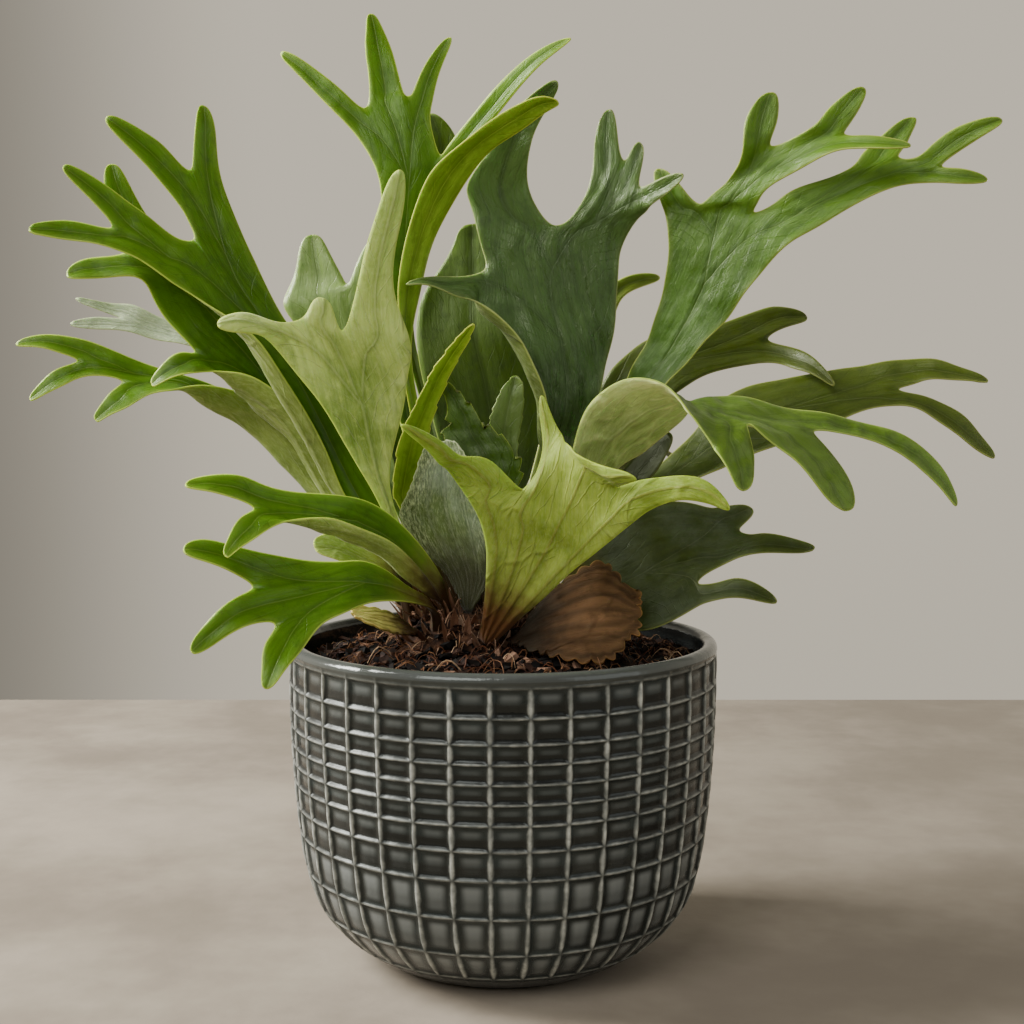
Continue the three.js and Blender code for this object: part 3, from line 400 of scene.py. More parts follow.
      [566, 548, 7, 574, 558, 3], [604, 505, 12, 614, 520, 4], [648, 474, 18, 662, 496, 6],
      [690, 438, 22, 704, 478, 6], [722, 400, 25, 745, 459, 5], [765, 383, 26, 790, 441, 4],
      [818, 374, 25, 830, 424, 4],
    ],
    fork=[868, 366, 22, 899, 390, 12, 880, 407, 6],
    lobes=[
      lobe([902, 361, 20, 914, 384, 12], [936, 361, 17, 938, 379, 10], [991, 381, 9]),
      lobe(
        [922, 397, 10, 915, 410, 4], [950, 409, 8, 944, 426, 2], [974, 429, 6, 970, 445, 1],
        [996, 458, 2],
      ),
    ],
  ),
  dict(
    name="frond_right_arch", finish="pale", upper="leaf_shade", under="underside_arch", pucker=0.5,
    tint=2.2, foot=[8, -7, 6.5],
    rows=[
      [553, 570, -11, 544, 562, -17], [582, 518, -18, 558, 504, -30], [607, 483, -24, 571, 458, -43],
      [625, 465, -29, 586, 414, -54], [646, 452, -33, 604, 392, -61], [667, 435, -37, 627, 381, -66],
      [684, 420, -40, 648, 381, -70], [692, 410, -43, 667, 390, -73], [706, 400, -45, 684, 408, -75],
      [748, 400, -46, 702, 431, -77],
    ],
    fork=[800, 411, -45, 813, 433, -54, 747, 427, -70, 712, 447, -78],
    lobes=[
      lobe(
        [847, 419, -43, 838, 434, -51], [872, 425, -42, 865, 439, -49], [900, 436, -41, 892, 451, -47],
        [926, 453, -40, 919, 469, -45], [946, 474, -39, 941, 489, -43], [958, 506, -41],
      ),
      lobe(
        [825, 448, -57, 763, 437, -71], [839, 464, -60, 786, 455, -72], [849, 484, -63, 807, 477, -73],
        [847, 512, -70],
      ),
      lobe([753, 448, -73, 716, 454, -80], [754, 467, -76, 725, 468, -82], [744, 492, -82]),
    ],
  ),
  dict(
    name="frond_right_low", finish="olive", upper="leaf_haze", tint=1.15, foot=[11, -13, 6.5], cup=0.05,
    rows=[
      [556, 590, -12, 560, 604, -18], [580, 562, -8, 592, 616, -22], [603, 541, -5, 625, 630, -26],
      [631, 514, -1, 656, 629, -27], [669, 502, 2, 685, 615, -25],
    ],
    fork=[702, 507, 3, 741, 532, -2, 698, 582, -16, 702, 605, -22],
    lobes=[
      lobe([720, 507, 3, 743, 525, 0], [752, 507, 3]),
      lobe([754, 536, -4, 722, 565, -13], [774, 536, -6, 755, 555, -12], [817, 549, -8]),
      lobe([716, 583, -18, 717, 600, -23], [742, 579, -20, 741, 598, -24], [779, 602, -24]),
    ],
  ),
  dict(
    name="frond_front", finish="pale", fan=True, pucker=0.35, crease=0.6, tint=1.25, foot=[-6, -27, 7],
    cup=0.12,
    rows=[
      [498, 640, -32, 480, 630, -32], [518, 621, -38, 484, 603, -38], [543, 599, -46, 486, 575, -45],
      [568, 575, -53, 486, 548, -52], [592, 556, -59, 480, 522, -58], [615, 537, -64, 468, 499, -64],
    ],
    fork=[636, 520, -68, 617, 487, -66, 563, 442, -60, 525, 490, -56, 450, 474, -70],
    lobes=[
      lobe(
        [652, 509, -71, 637, 481, -68], [672, 502, -73, 664, 477, -70], [692, 501, -75, 688, 476, -72],
        [712, 505, -77, 708, 482, -75], [731, 508, -79],
      ),
      lobe([622, 484, -72, 586, 461, -68], [634, 475, -78]),
      lobe([560, 434, -55, 541, 460, -52], [553, 420, -52, 542, 434, -50], [542, 395, -47]),
      lobe(
        [492, 461, -66, 443, 467, -74], [463, 457, -72, 436, 461, -77], [444, 443, -78, 425, 448, -81],
        [400, 423, -86],
      ),
    ],
  ),
  dict(
    name="frond_young_felted", finish="felted", ribs=5, level=4, teeth=(0.7, 4, True), crease=1.1,
    tint=1.9, foot=[-14, -13, 6.5], columns=2,
    rows=[
      [461, 606, -12, 475, 606, -18], [447, 577, -9, 490, 580, -20], [425, 553, -7, 496, 550, -21],
      [404, 525, -6, 496, 520, -21], [401, 507, -6, 490, 495, -19], [411, 484, -8, 478, 475, -16],
    ],
    tip=[441, 440, -10],
  ),
  dict(
    name="frond_young_strap", finish="green", upper="leaf_vivid", level=4, teeth=(0.9, 7, True), tint=1.5,
    foot=[-20, -4, 6],
    rows=[
      [441, 590, -3, 450, 588, -3], [419, 545, 1, 430, 541, 1], [397, 505, 2, 411, 501, 3],
      [392, 485, 1, 416, 478, 4], [398, 440, -3, 428, 437, 1], [412, 410, -5, 437, 409, 0],
      [425, 383, -5, 447, 385, 0], [441, 357, -6, 458, 361, -2],
    ],
    tip=[475, 322, -6],
  ),
  dict(
    name="frond_young_jagged", finish="green", level=4, teeth=(3.4, 9, True), tint=0.7, foot=[-11, -4, 6],
    columns=2,
    rows=[
      [471, 590, -5, 481, 590, -5], [461, 540, -5, 492, 540, -6], [455, 500, -3, 516, 500, -6],
      [450, 460, -1, 524, 462, -5], [440, 433, 3, 505, 436, -2], [446, 412, 3, 484, 418, 1],
    ],
    tip=[445, 381, 5],
  ),
  dict(
    name="frond_young_rounded", finish="green", upper="leaf_satin", level=4, teeth=(0.8, 5, True),
    tint=0.62, foot=[-4, 3, 6],
    rows=[
      [488, 580, 4, 498, 580, 4], [490, 500, 5, 512, 500, 5], [488, 440, 6, 520, 436, 6],
      [491, 411, 6, 524, 411, 6],
    ],
    tip=[516, 374, 8],
  ),
  dict(
    name="frond_back_broad", finish="deep", upper="leaf_shade", tint=1.4, foot=[-8, 23, 6.5], columns=2,
    rows=[
      [475, 560, 35, 494, 560, 35], [450, 480, 50, 529, 480, 54], [430, 410, 57, 548, 404, 61],
      [417, 345, 62, 531, 330, 60], [424, 295, 66, 520, 285, 65], [447, 257, 69, 497, 250, 68],
    ],
    tip=[472, 224, 71],
  ),
  dict(
    name="frond_back_round", finish="green", upper="leaf_satin", tint=0.9, foot=[-29, 13, 6],
    rows=[
      [420, 570, 24, 430, 566, 24], [390, 500, 32, 404, 494, 32], [352, 430, 38, 384, 415, 38],
      [320, 370, 43, 380, 350, 42], [298, 328, 46, 376, 318, 44],
    ],
    fork=[284, 304, 48, 349, 283, 46, 380, 296, 44],
    lobes=[
      lobe([294, 278, 51, 342, 276, 49], [299, 254, 53, 329, 251, 52], [312, 234, 54]),
      lobe([358, 262, 48, 380, 268, 46], [374, 240, 49]),
    ],
  ),
  dict(
    name="frond_back_tall", finish="olive", upper="leaf_shade", tint=1.5, foot=[-20, 26, 6],
    rows=[
      [455, 560, 44, 464, 560, 44], [440, 480, 52, 449, 480, 52], [420, 400, 65, 430, 400, 65],
      [401, 320, 71, 413, 320, 71], [402, 245, 75, 429, 245, 75], [413, 185, 77, 449, 185, 77],
      [424, 145, 78, 458, 145, 78],
    ],
    tip=[430, 112, 79],
  ),
  dict(
    name="frond_back_narrow", finish="olive", tint=2.4, foot=[2, 25, 6],
    rows=[
      [512, 560, 38, 521, 562, 36], [532, 470, 47, 546, 474, 45], [560, 380, 54, 588, 388, 51],
      [590, 310, 58, 611, 328, 56], [617, 281, 61, 622, 299, 59], [638, 274, 62, 642, 287, 61],
    ],
    tip=[661, 277, 63],
  ),
  dict(
    name="frond_left_pale", finish="pale", upper="underside_felt", tint=1.5, foot=[-34, 20, 5.5],
    rows=[
      [392, 574, 34, 396, 565, 36], [330, 484, 54, 337, 473, 56], [270, 402, 68, 279, 389, 70],
      [205, 352, 78, 212, 333, 80], [160, 341, 82, 165, 319, 85],
    ],
    fork=[130, 332, 83, 119, 318, 85, 135, 306, 87],
    lobes=[
      lobe([101, 329, 83, 99, 317, 85], [69, 324, 84]),
      lobe([107, 313, 87, 110, 303, 88], [74, 298, 88]),
    ],
  ),
  dict(
    name="frond_right_inner", finish="olive", tint=0.3, foot=[9, 1, 5.5],
    rows=[
      [552, 560, 1, 560, 566, -2], [588, 513, 2, 599, 525, -4], [624, 470, 4, 640, 488, -4],
      [642, 447, 5, 659, 470, -3],
    ],
    tip=[672, 432, 2],
  ),
  dict(
    name="frond_rear_left", finish="green", foot=[-28, 20, 6], in_space=True,
    rows=[[-43, 38, 172, -34, 48, 175], [-58, 52, 204, -42, 70, 210], [-74, 68, 226, -48, 92, 232]],
    fork=[-90, 86, 234, -70, 106, 240, -52, 114, 238],
    lobes=[
      lobe([-101, 104, 230, -85, 119, 234], [-108, 132, 216]),
      lobe([-77, 124, 236, -60, 130, 234], [-80, 150, 220]),
    ],
  ),
  dict(
    name="frond_rear", finish="green", foot=[-6, 30, 7], in_space=True,
    rows=[[-12, 58, 180, 0, 58, 180], [-19, 77, 216, 7, 76, 216], [-27, 100, 238, 16, 98, 238]],
    fork=[-34, 122, 240, -12, 126, 244, 12, 124, 243, 26, 116, 238],
    lobes=[
      lobe([-38, 142, 230, -21, 145, 233], [-38, 164, 208]),
      lobe([-11, 145, 236, 8, 144, 236], [-1, 170, 216]),
      lobe([22, 140, 232, 33, 130, 228], [40, 156, 206]),
    ],
  ),
  dict(
    name="frond_rear_right", finish="olive", foot=[9, 22, 6.5], in_space=True,
    rows=[[12, 48, 168, 22, 40, 166], [20, 66, 194, 36, 50, 190], [32, 86, 208, 53, 62, 202]],
    fork=[40, 104, 208, 56, 94, 211, 68, 76, 200],
    lobes=[
      lobe([46, 124, 200, 62, 116, 202], [62, 144, 180]),
      lobe([72, 104, 203, 79, 90, 196], [92, 112, 178]),
    ],
  ),
  dict(
    name="shield_brown", finish="dry", ribs=7, level=4, teeth=(2.6, 5.0, False), crease=0.15, pucker=0.4,
    tint=1.05, foot=[2, -23, 6], columns=3, cup=-0.06,
    rows=[
      [519, 631, -30, 509, 642, -34], [536, 604, -29, 536, 654, -44], [563, 580, -28, 562, 660, -49],
      [588, 563, -27, 588, 665, -51], [605, 561, -27, 608, 663, -50], [619, 572, -27, 622, 653, -47],
      [632, 588, -28, 632, 638, -42],
    ],
    tip=[642, 612, -34], blunt=24,
  ),
  dict(
    name="shield_green", finish="pale", upper="underside_green", under="underside_green", tint=2.1,
    foot=[-37, -8, 6], columns=2,
    rows=[[402, 590, -14, 397, 570, -10], [372, 577, -18, 362, 545, -12], [344, 563, -21, 334, 534, -16]],
    tip=[314, 547, -21],
  ),
  dict(
    name="shield_left", finish="dry", upper="shield_half", under="shield_half", ribs=5, level=4,
    teeth=(1.2, 3.8, False), crease=0.4, tint=2.8, foot=[-33, -17, 6.5], columns=2,
    rows=[[412, 634, -33, 402, 618, -26], [392, 632, -38, 380, 608, -29]], tip=[350, 611, -38], blunt=8,
  ),
]

# Finishes: the upper side's material, the underside's, and the record's slot
FINISHES = dict(
    green=("leaf_green", "underside_green", "leaf_green"),
    deep=("leaf_deep", "underside_green", "leaf_deep"),
    olive=("leaf_olive", "underside_olive", "leaf_olive"),
    pale=("leaf_green", "underside_pale", "leaf_pale"),
    felted=("leaf_felt", "underside_felt", "leaf_felt"),
    dry=("shield_dry", "shield_dry", "shield_dry"),
)


def unit(vector):
    return vector / np.linalg.norm(vector)


def traced(x, y, depth):
    """The place that a traced point names, in millimetres"""
    ahead = np.array((0, math.cos(LOOK_DOWN), -math.sin(LOOK_DOWN)))
    up = np.array((0, math.sin(LOOK_DOWN), math.cos(LOOK_DOWN)))
    ray = ahead + up * (PICTURE / 2 - y) / FOCAL
    ray[0] += (x - PICTURE / 2) / FOCAL
    return EYE + ray * (depth - EYE[1]) / ray[1]


def points_of(row, frond):
    triples = [row[k:k + 3] for k in range(0, len(row), 3)]
    if frond.get("in_space"):
        return [np.array(triple, float) for triple in triples]
    return [traced(*triple) for triple in triples]


def column_weights(lobe):
    if "lobes" in lobe:
        return [weight for child in lobe["lobes"] for weight in column_weights(child)]
    if lobe.get("roll"):
        return [ROLL_SHARE, 1]
    return [1] * lobe.get("columns", 1)


def spread(left, right, weights, cup=0):
    """Points between two margins, in step with the columns' weights"""
    shares = np.cumsum([0] + list(weights)) / sum(weights)
    points = [left + (right - left) * share for share in shares]
    for point, share in zip(points, shares):
        point[1] += cup * np.linalg.norm(right - left) * 4 * share * (1 - share)
    return points


def row_across(row, weights, frond):
    ends = points_of(row, frond)
    cup = frond.get("cup", 0)
    if len(ends) == 2:
        return spread(ends[0], ends[1], weights, cup)
    return [ends[0]] + spread(ends[1], ends[2], weights[1:], cup)


def row_middle(row, frond):
    ends = points_of(row, frond)
    return (ends[-2] + ends[-1]) / 2


def from_crown(x, y):
    """How far a place is from the middle of the crown"""
    return math.hypot(x - CROWN["x"], y - CROWN["y"])


def crown_height(x, y):
    share = min(1, from_crown(x, y) / CROWN["radius"])
    return CROWN["waist"] + (CROWN["top"] - CROWN["waist"]) * math.sqrt(1 - share * share)


def stalk_rows(frond):
    """The stalk's end inside the rootstock, and the place where it comes out"""
    x, y, width = frond["foot"]
    mouth = np.array((x, y, crown_height(x, y)))
    first = points_of(frond["rows"][0], frond)
    middle = (first[0] + first[-1]) / 2
    inward = unit(mouth - middle) * STALK_DEPTH
    across = (first[-1] - first[0]) * (1, 1, 0)
    across = unit(across) * width / 2
    return [(centre - across, centre + across) for centre in (mouth + inward, mouth)]


class Sheet:
    """A frond's sheet while it grows in edit mode, row by row"""

    def __init__(self, name, first, second):
        bpy.ops.object.select_all(action="DESELECT")
        bpy.ops.mesh.primitive_grid_add(x_subdivisions=len(first) - 1, y_subdivisions=1, size=MM)
        self.object = bpy.context.object
        self.object.name = name
        self.object.data.name = name
        self.growth = {}
        self.tips = set()
        count = len(first)
        bpy.ops.object.mode_set(mode="EDIT")
        bpy.ops.mesh.select_mode(type="EDGE")
        self.place(range(count), first, 0, 0)
        self.second = list(range(count, 2 * count))
        self.place(self.second, second, 0, STALK_DEPTH)

    def place(self, row, points, side, along):
        """Puts a row's verts on their points, and notes how far across and along they are"""
        bm = bmesh.from_edit_mesh(self.object.data)
        bm.verts.ensure_lookup_table()
        steps = [np.linalg.norm(b - a) for a, b in zip(points, points[1:])]
        reach = np.cumsum([0] + steps) - sum(steps) / 2 + side
        for index, point, across in zip(row, points, reach):
            bm.verts[index].co = point * MM
            self.growth[index] = (across * MM, along * MM)

    def extrude(self, row, points, side, along):
        """Draws the edges between a row's verts out to a new row"""
        bm = bmesh.from_edit_mesh(self.object.data)
        bm.verts.ensure_lookup_table()
        bpy.ops.mesh.select_all(action="DESELECT")
        for left, right in zip(row, row[1:]):
            bm.edges.get((bm.verts[left], bm.verts[right])).select_set(True)
        count = len(bm.verts)
        bpy.ops.mesh.extrude_region_move()
        bm = bmesh.from_edit_mesh(self.object.data)
        bm.verts.index_update()
        bm.verts.ensure_lookup_table()
        fresh = []
        for index in row:
            vert = bm.verts[index]
            ends = [edge.other_vert(vert).index for edge in vert.link_edges]
            fresh.append(max(end for end in ends if end >= count))
        self.place(fresh, points, side, along)
        return fresh

    def finish(self):
        """Turns every face to the upper side, and writes down how far across and along it is"""
        bpy.ops.mesh.select_mode(type="FACE")
        bpy.ops.mesh.select_all(action="SELECT")
        bpy.ops.mesh.normals_make_consistent(inside=False)
        bm = bmesh.from_edit_mesh(self.object.data)
        bm.verts.ensure_lookup_table()
        bm.faces.ensure_lookup_table()
        start, across, along = [bm.verts[k].co for k in (0, 1, self.second[0])]
        if bm.faces[0].normal.dot((across - start).cross(along - start)) < 0:
            bpy.ops.mesh.flip_normals()
        bpy.ops.object.mode_set(mode="OBJECT")
        mesh = self.object.data
        layer = mesh.uv_layers.get("growth") or mesh.uv_layers.new(name="growth")
        for loop in mesh.loops:
            layer.data[loop.index].uv = self.growth[loop.vertex_index]
        for other in [uv for uv in mesh.uv_layers if uv.name != "growth"]:
            mesh.uv_layers.remove(other)
        return self.object


def grow_sheet(frond, name):
    weights = column_weights(frond)
    first, second = [spread(*ends, weights) for ends in stalk_rows(frond)]
    sheet = Sheet(name, first, second)
    grow_lobe(sheet, frond, frond, sheet.second, second, 0, STALK_DEPTH)
    return sheet


def grow_lobe(sheet, frond, lobe, row, points, side, along):
    weights = column_weights(lobe)

    def advance(fresh, row, points, along):
        along += np.linalg.norm(np.mean(fresh, axis=0) - np.mean(points, axis=0))
        return sheet.extrude(row, fresh, side, along), fresh, along

    for traced_row in lobe["rows"]:
        row, points, along = advance(row_across(traced_row, weights, frond), row, points, along)
    if "lobes" not in lobe:
        tip = points_of(lobe["tip"], frond)[0]
        across = points[-1] - points[0]
        width = lobe.get("blunt") or max(TIP_WIDTH, np.linalg.norm(across) * TIP_SHARE)
        across = unit(across) * width / 2
        row, points, along = advance(spread(tip - across, tip + across, weights), row, points, along)
        sheet.tips.update(row)
        return
    ends = points_of(lobe["fork"], frond)
    line = [ends[0]]
    for child, left, right in zip(lobe["lobes"], ends, ends[1:]):
        line += spread(left, right, column_weights(child))[1:]
    row, points, along = advance(line, row, points, along)
    start = 0
    for child in lobe["lobes"]:
        end = start + len(column_weights(child))
        part = points[start:end + 1]
        share = (sheet.growth[row[start]][0] + sheet.growth[row[end]][0]) / 2 / MM
        grow_lobe(sheet, frond, child, row[start:end + 1], part, share, along)
        start = end


def ray(frond, share):
    """A line from the foot up the undivided part, at a share of its width"""
    line = [np.mean(ends, axis=0) for ends in stalk_rows(frond)]
    for row in frond["rows"]:
        left, right = points_of(row, frond)[-2:]
        line.append(left + (right - left) * share)
    return line


def fan_lines(frond):
    """A rib for each lobe, all the way from the foot"""
    weights = column_weights(frond)
    shares = np.cumsum([0] + weights) / sum(weights)
    ends = points_of(frond["fork"], frond)
    ribs = []
    start = 0
    for child, left, right in zip(frond["lobes"], ends, ends[1:]):
        end = start + len(column_weights(child))
        line = ray(frond, (shares[start] + shares[end]) / 2) + [(left + right) / 2]
        line += [row_middle(row, frond) for row in child["rows"]]
        ribs.append(line + [points_of(child["tip"], frond)[0]])
        start = end
    return ribs


def rib_lines(frond):
    """The middle line of each lobe, from where it leaves its branch to its tip"""
    if frond.get("fan"):
        return fan_lines(frond)
    if "ribs" in frond:
        count = frond["ribs"]
        tip = points_of(frond["tip"], frond)[0]
        return [ray(frond, (k + 0.5) / count) + [tip] for k in range(count)]
    ribs = []

    def follow(lobe, line):
        line = line + [row_middle(row, frond) for row in lobe["rows"]]
        if "lobes" not in lobe:
            ribs.append(line + [points_of(lobe["tip"], frond)[0]])
            return
        *stem, parting = line
        if len(stem) > 1:
            ribs.append(stem)
        ends = points_of(lobe["fork"], frond)
        for child, left, right in zip(lobe["lobes"], ends, ends[1:]):
            if child.get("roll"):
                left = left + (right - left) * ROLL_SHARE / (1 + ROLL_SHARE)
            middle = (left + right) / 2
            follow(child, [stem[-1], (parting + middle) / 2, middle])

    follow(frond, [np.mean(ends, axis=0) for ends in stalk_rows(frond)])
    return ribs


def smooth_line(points, steps=5):
    """A smooth curve through the points, with some steps between each pair"""
    points = np.array(points, float)
    ends = np.vstack((2 * points[0] - points[1], points, 2 * points[-1] - points[-2]))
    line = []
    for k in range(1, len(ends) - 2):
        a, b, c, d = ends[k - 1:k + 3]
        for step in range(steps):
            s = step / steps
            line.append(0.5 * (2 * b + (c - a) * s + (2 * a - 5 * b + 4 * c - d) * s ** 2
                               + (3 * b - a - 3 * c + d) * s ** 3))
    return np.array(line + [points[-1]])


# Mesh numbers

def read_points(mesh, what="co"):
    numbers = np.empty(len(mesh.vertices) * 3)
    mesh.vertices.foreach_get(what, numbers)
    return numbers.reshape(-1, 3)


def write_points(mesh, points):
    mesh.vertices.foreach_set("co", np.asarray(points, np.float32).ravel())
    mesh.update()


def read_normals(mesh):
    return read_points(mesh, "normal")


def keep_numbers(mesh, domain="POINT", **numbers):
    """Attributes that the finishes read"""
    for name, values in numbers.items():
        layer = mesh.attributes.new(name, "FLOAT", domain)
        layer.data.foreach_set("value", np.asarray(values, np.float32).ravel())


def border_loops(mesh):
    """The edges with one face, as lists of verts in order"""
    used = {}
    for face in mesh.polygons:
        for a, b in face.edge_keys:
            used[(a, b)] = used.get((a, b), 0) + 1
    ways = {}
    for (a, b), count in used.items():
        if count == 1:
            ways.setdefault(a, []).append(b)
            ways.setdefault(b, []).append(a)
    loops = []
    left = set(ways)
    while left:
        start = min(left)
        loop = [start]
        left.discard(start)
        while True:
            step = [v for v in ways[loop[-1]] if v in left]
            if not step:
                break
            loop.append(step[0])
            left.discard(step[0])
        loops.append(loop)
    return loops


def lay_cage_on_outline(mesh, free):
    """Moves the cage's verts so that the smoothed sheet passes through the traced points"""
    target = read_points(mesh)
    count = len(target)
    edges = [set() for _ in range(count)]
    corners = [[] for _ in range(count)]
    for face in mesh.polygons:
        ids = list(face.vertices)
        for k, vert in enumerate(ids):
            edges[vert].update((ids[k - 1], ids[(k + 1) % 4]))
            corners[vert].append(ids[(k + 2) % 4])
    beside = {}
    for loop in border_loops(mesh):
        for k, vert in enumerate(loop):
            beside[vert] = (loop[k - 1], loop[(k + 1) % len(loop)])
    points = target.copy()
    for _ in range(FIT_ROUNDS):
        limit = np.empty_like(points)
        for vert in range(count):
            if vert in beside:
                a, b = beside[vert]
                limit[vert] = (points[a] + 4 * points[vert] + points[b]) / 6
            else:
                n = len(corners[vert])
                around = 4 * sum(points[e] for e in edges[vert]) + sum(points[c] for c in corners[vert])
                limit[vert] = (n * n * points[vert] + around) / (n * (n + 5))
        move = FIT_SHARE * (target - limit)
        move[sorted(free)] = 0
        points += move
    write_points(mesh, points)


def ripple(points, wavelength, seed):
    """A smooth uneven wave between about -1 and 1 over points in metres"""
    rng = random.Random(seed)
    total = np.zeros(len(points))
    waves = 6
    for _ in range(waves):
        direction = unit(np.array([rng.gauss(0, 1) for _ in range(3)]))
        length = wavelength * MM * rng.uniform(0.7, 1.4)
        total += np.sin(points @ direction * 2 * math.pi / length + rng.uniform(0, 2 * math.pi))
    return total / waves ** 0.5 / 1.2


def signed_reach(points, normals, line):
    """How far each point lies beside a line, with a sign for the side, and how far from it"""
    a, b = line[:-1], line[1:]
    way = b - a
    length = np.linalg.norm(way, axis=1)
    way = way / length[:, None]
    offset = points[:, None] - a[None]
    along = np.clip((offset * way[None]).sum(2), 0, length[None])
    gap = offset - along[..., None] * way[None]
    reach = np.linalg.norm(gap, axis=2)
    near = reach.argmin(axis=1)
    rows = np.arange(len(points))
    side = np.cross(normals, way[near])
    beside = (gap[rows, near] * side).sum(1)
    past = (offset[rows, near] * way[near]).sum(1)
    beyond = np.maximum(np.maximum(-past, past - length[near]), 0)
    return beside, np.where(beyond > 0.5 * MM, reach[rows, near], np.abs(beside)), reach[rows, near]


def scallop(points, loops, nearest, edge, outward, half, frond):
    """Moves the margin in and out in rounded or torn teeth, less where the frond is narrow"""
    if "teeth" not in frond:
        return points
    depth, wavelength, torn = frond["teeth"]
    rng = random.Random(frond["name"])
    shift = np.zeros(len(points))
    for loop in loops:
        reach, tooth_end, size, height = 0, 0, 1, 1
        for k, vert in enumerate(loop):
            reach += np.linalg.norm(points[vert] - points[loop[k - 1]]) / MM
            if reach > tooth_end:
                size = wavelength * rng.uniform(0.6, 1.5)
                tooth_end = reach + size
                height = rng.uniform(0.4, 1)
            share = 1 - (tooth_end - reach) / size
            shape = share if torn else math.sin(math.pi * min(1, max(0, share)))
            room = depth if "ribs" in frond else min(depth, 0.4 * half[vert])
            shift[vert] = -room * MM * (1 - shape) * height
    fade = np.exp(-edge / (TOOTH_REACH * MM))
    return points + outward[nearest] * (shift[nearest] * fade)[:, None]


def outward_of(points, normals, loops):
    """The way out of the sheet at each vert of its border, in the sheet's plane"""
    outward = np.zeros_like(points)
    for loop in loops:
        ids = np.array(loop)
        way = np.roll(points[ids], -2, axis=0) - np.roll(points[ids], 2, axis=0)
        way /= np.maximum(np.linalg.norm(way, axis=1), 1e-9)[:, None]
        outward[ids] = np.cross(way, normals[ids])
    return outward


def fade_in(distance, start, length):
    """A share from 0 to 1 that grows over some millimetres"""
    return np.clip((distance - start * MM) / (length * MM), 0, 1)


def growth_of(mesh, faces):
    """How far across and along the frond each vert lies"""
    growth = np.empty(len(mesh.loops) * 2)
    mesh.uv_layers["growth"].data.foreach_get("uv", growth)
    across, along = np.zeros((2, len(mesh.vertices)))
    across[faces.ravel()], along[faces.ravel()] = growth.reshape(-1, 2).T
    return across, along


def beside_rib(faces, sides, spans, reaches):
    """How far each face's corners lie beside the rib that is nearest to the face"""
    nearest = reaches[:, faces].mean(axis=2).argmin(axis=0)[:, None]
    far = spans[nearest, faces]
    return np.where(far.min(axis=1, keepdims=True) > RIB_REACH * MM, far, sides[nearest, faces])


def relief(frond, points, span, edge, across, along):
    """Creases at the ribs, waves at the margin, puckers and fine wrinkles, in millimetres"""
    name = frond["name"]
    crease = frond.get("crease", CREASE_DEPTH) * (1 - np.exp(-span / (CREASE_WIDTH * MM)))
    crease *= fade_in(along, *CREASE_ALONG)
    wave = WAVE_DEPTH * ripple(points, WAVE_LENGTH, name) * np.exp(-edge / (WAVE_REACH * MM))
    wave *= fade_in(along, *WAVE_ALONG)
    pucker = frond.get("pucker", PUCKER_DEPTH) * ripple(points, PUCKER_LENGTH, name + "pucker")
    pucker *= fade_in(edge, *PUCKER_EDGE) * fade_in(along, *PUCKER_ALONG)
    lengthways = np.stack((across, along / 5, edge / 3), axis=1)
    wrinkle = frond.get("wrinkle", WRINKLE_DEPTH) * ripple(lengthways, WRINKLE_LENGTH, name + "wrinkle")
    wrinkle *= fade_in(edge, *WRINKLE_EDGE) * fade_in(along, *WRINKLE_ALONG)
    return crease + wave + pucker + wrinkle


def weigh_thickness(obj, span, edge, along):
    """Weights for the thick stalk, the ribs and the thin margin, and the thickness they share"""
    stalk = np.clip(1 - along / (THICK_STALK * MM), 0, 1) ** 1.5
    blade = BLADE_THICKNESS + (STALK_THICKNESS - BLADE_THICKNESS) * stalk
    blade = blade + RIB_HEIGHT * np.exp(-(span / (RIB_WIDTH * MM)) ** 2)
    inner = 1 - np.exp(-edge / ((MARGIN_WIDTH + 0.8 * stalk) * MM))
    thickness = MARGIN_THICKNESS + (blade - MARGIN_THICKNESS) * inner
    most = float(thickness.max())
    group = obj.vertex_groups.new(name="thickness")
    for index, value in enumerate(thickness / most):
        group.add([index], float(value), "REPLACE")
    return most * MM


def dress_sheet(obj, frond, ribs):
    """Teeth and relief for a smoothed sheet, the numbers its finish reads, and its thickness"""
    mesh = obj.data
    points = read_points(mesh)
    normals = read_normals(mesh)
    loops = border_loops(mesh)
    border = np.array([vert for loop in loops for vert in loop])
    gaps = np.linalg.norm(points[:, None] - points[None, border], axis=2)
    nearest = border[gaps.argmin(axis=1)]
    edge = gaps.min(axis=1)
    outward = outward_of(points, normals, loops)
    lines = [smooth_line(rib) * MM for rib in ribs]
    by_rib = zip(*[signed_reach(points, normals, line) for line in lines])
    sides, spans, reaches = [np.array(numbers) for numbers in by_rib]
    span = spans[reaches.argmin(axis=0), np.arange(len(points))]
    points = scallop(points, loops, nearest, edge, outward, span / MM, frond)

    faces = np.array([face.vertices[:] for face in mesh.polygons])
    across, along = growth_of(mesh, faces)
    # The tint, partly painted light and shade, goes to the finish
    tint = np.full(len(points), frond.get("tint", 1.0))
    keep_numbers(mesh, "CORNER", rib=beside_rib(faces, sides, spans, reaches) / MM)
    keep_numbers(mesh, edge=edge / MM, along=along / MM, tint=tint, share=along / along.max())
    write_points(mesh, points + normals * relief(frond, points, span, edge, across, along)[:, None] * MM)
    return weigh_thickness(obj, span, edge, along)


def pick(obj):
    bpy.ops.object.select_all(action="DESELECT")
    obj.select_set(True)
    bpy.context.view_layer.objects.active = obj


def apply_modifier(obj, kind, **settings):
    pick(obj)
    modifier = obj.modifiers.new(kind.title(), kind)
    for name, value in settings.items():
        setattr(modifier, name, value)
    bpy.ops.object.modifier_apply(modifier=modifier.name)


def finish_piece(obj, node):
    """Smooth shading, and hides the solid that a dressed piece stands for and hangs the piece on the root
    body
    """
    pick(obj)
    bpy.ops.object.shade_smooth()
    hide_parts(node)
    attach(obj, "root")


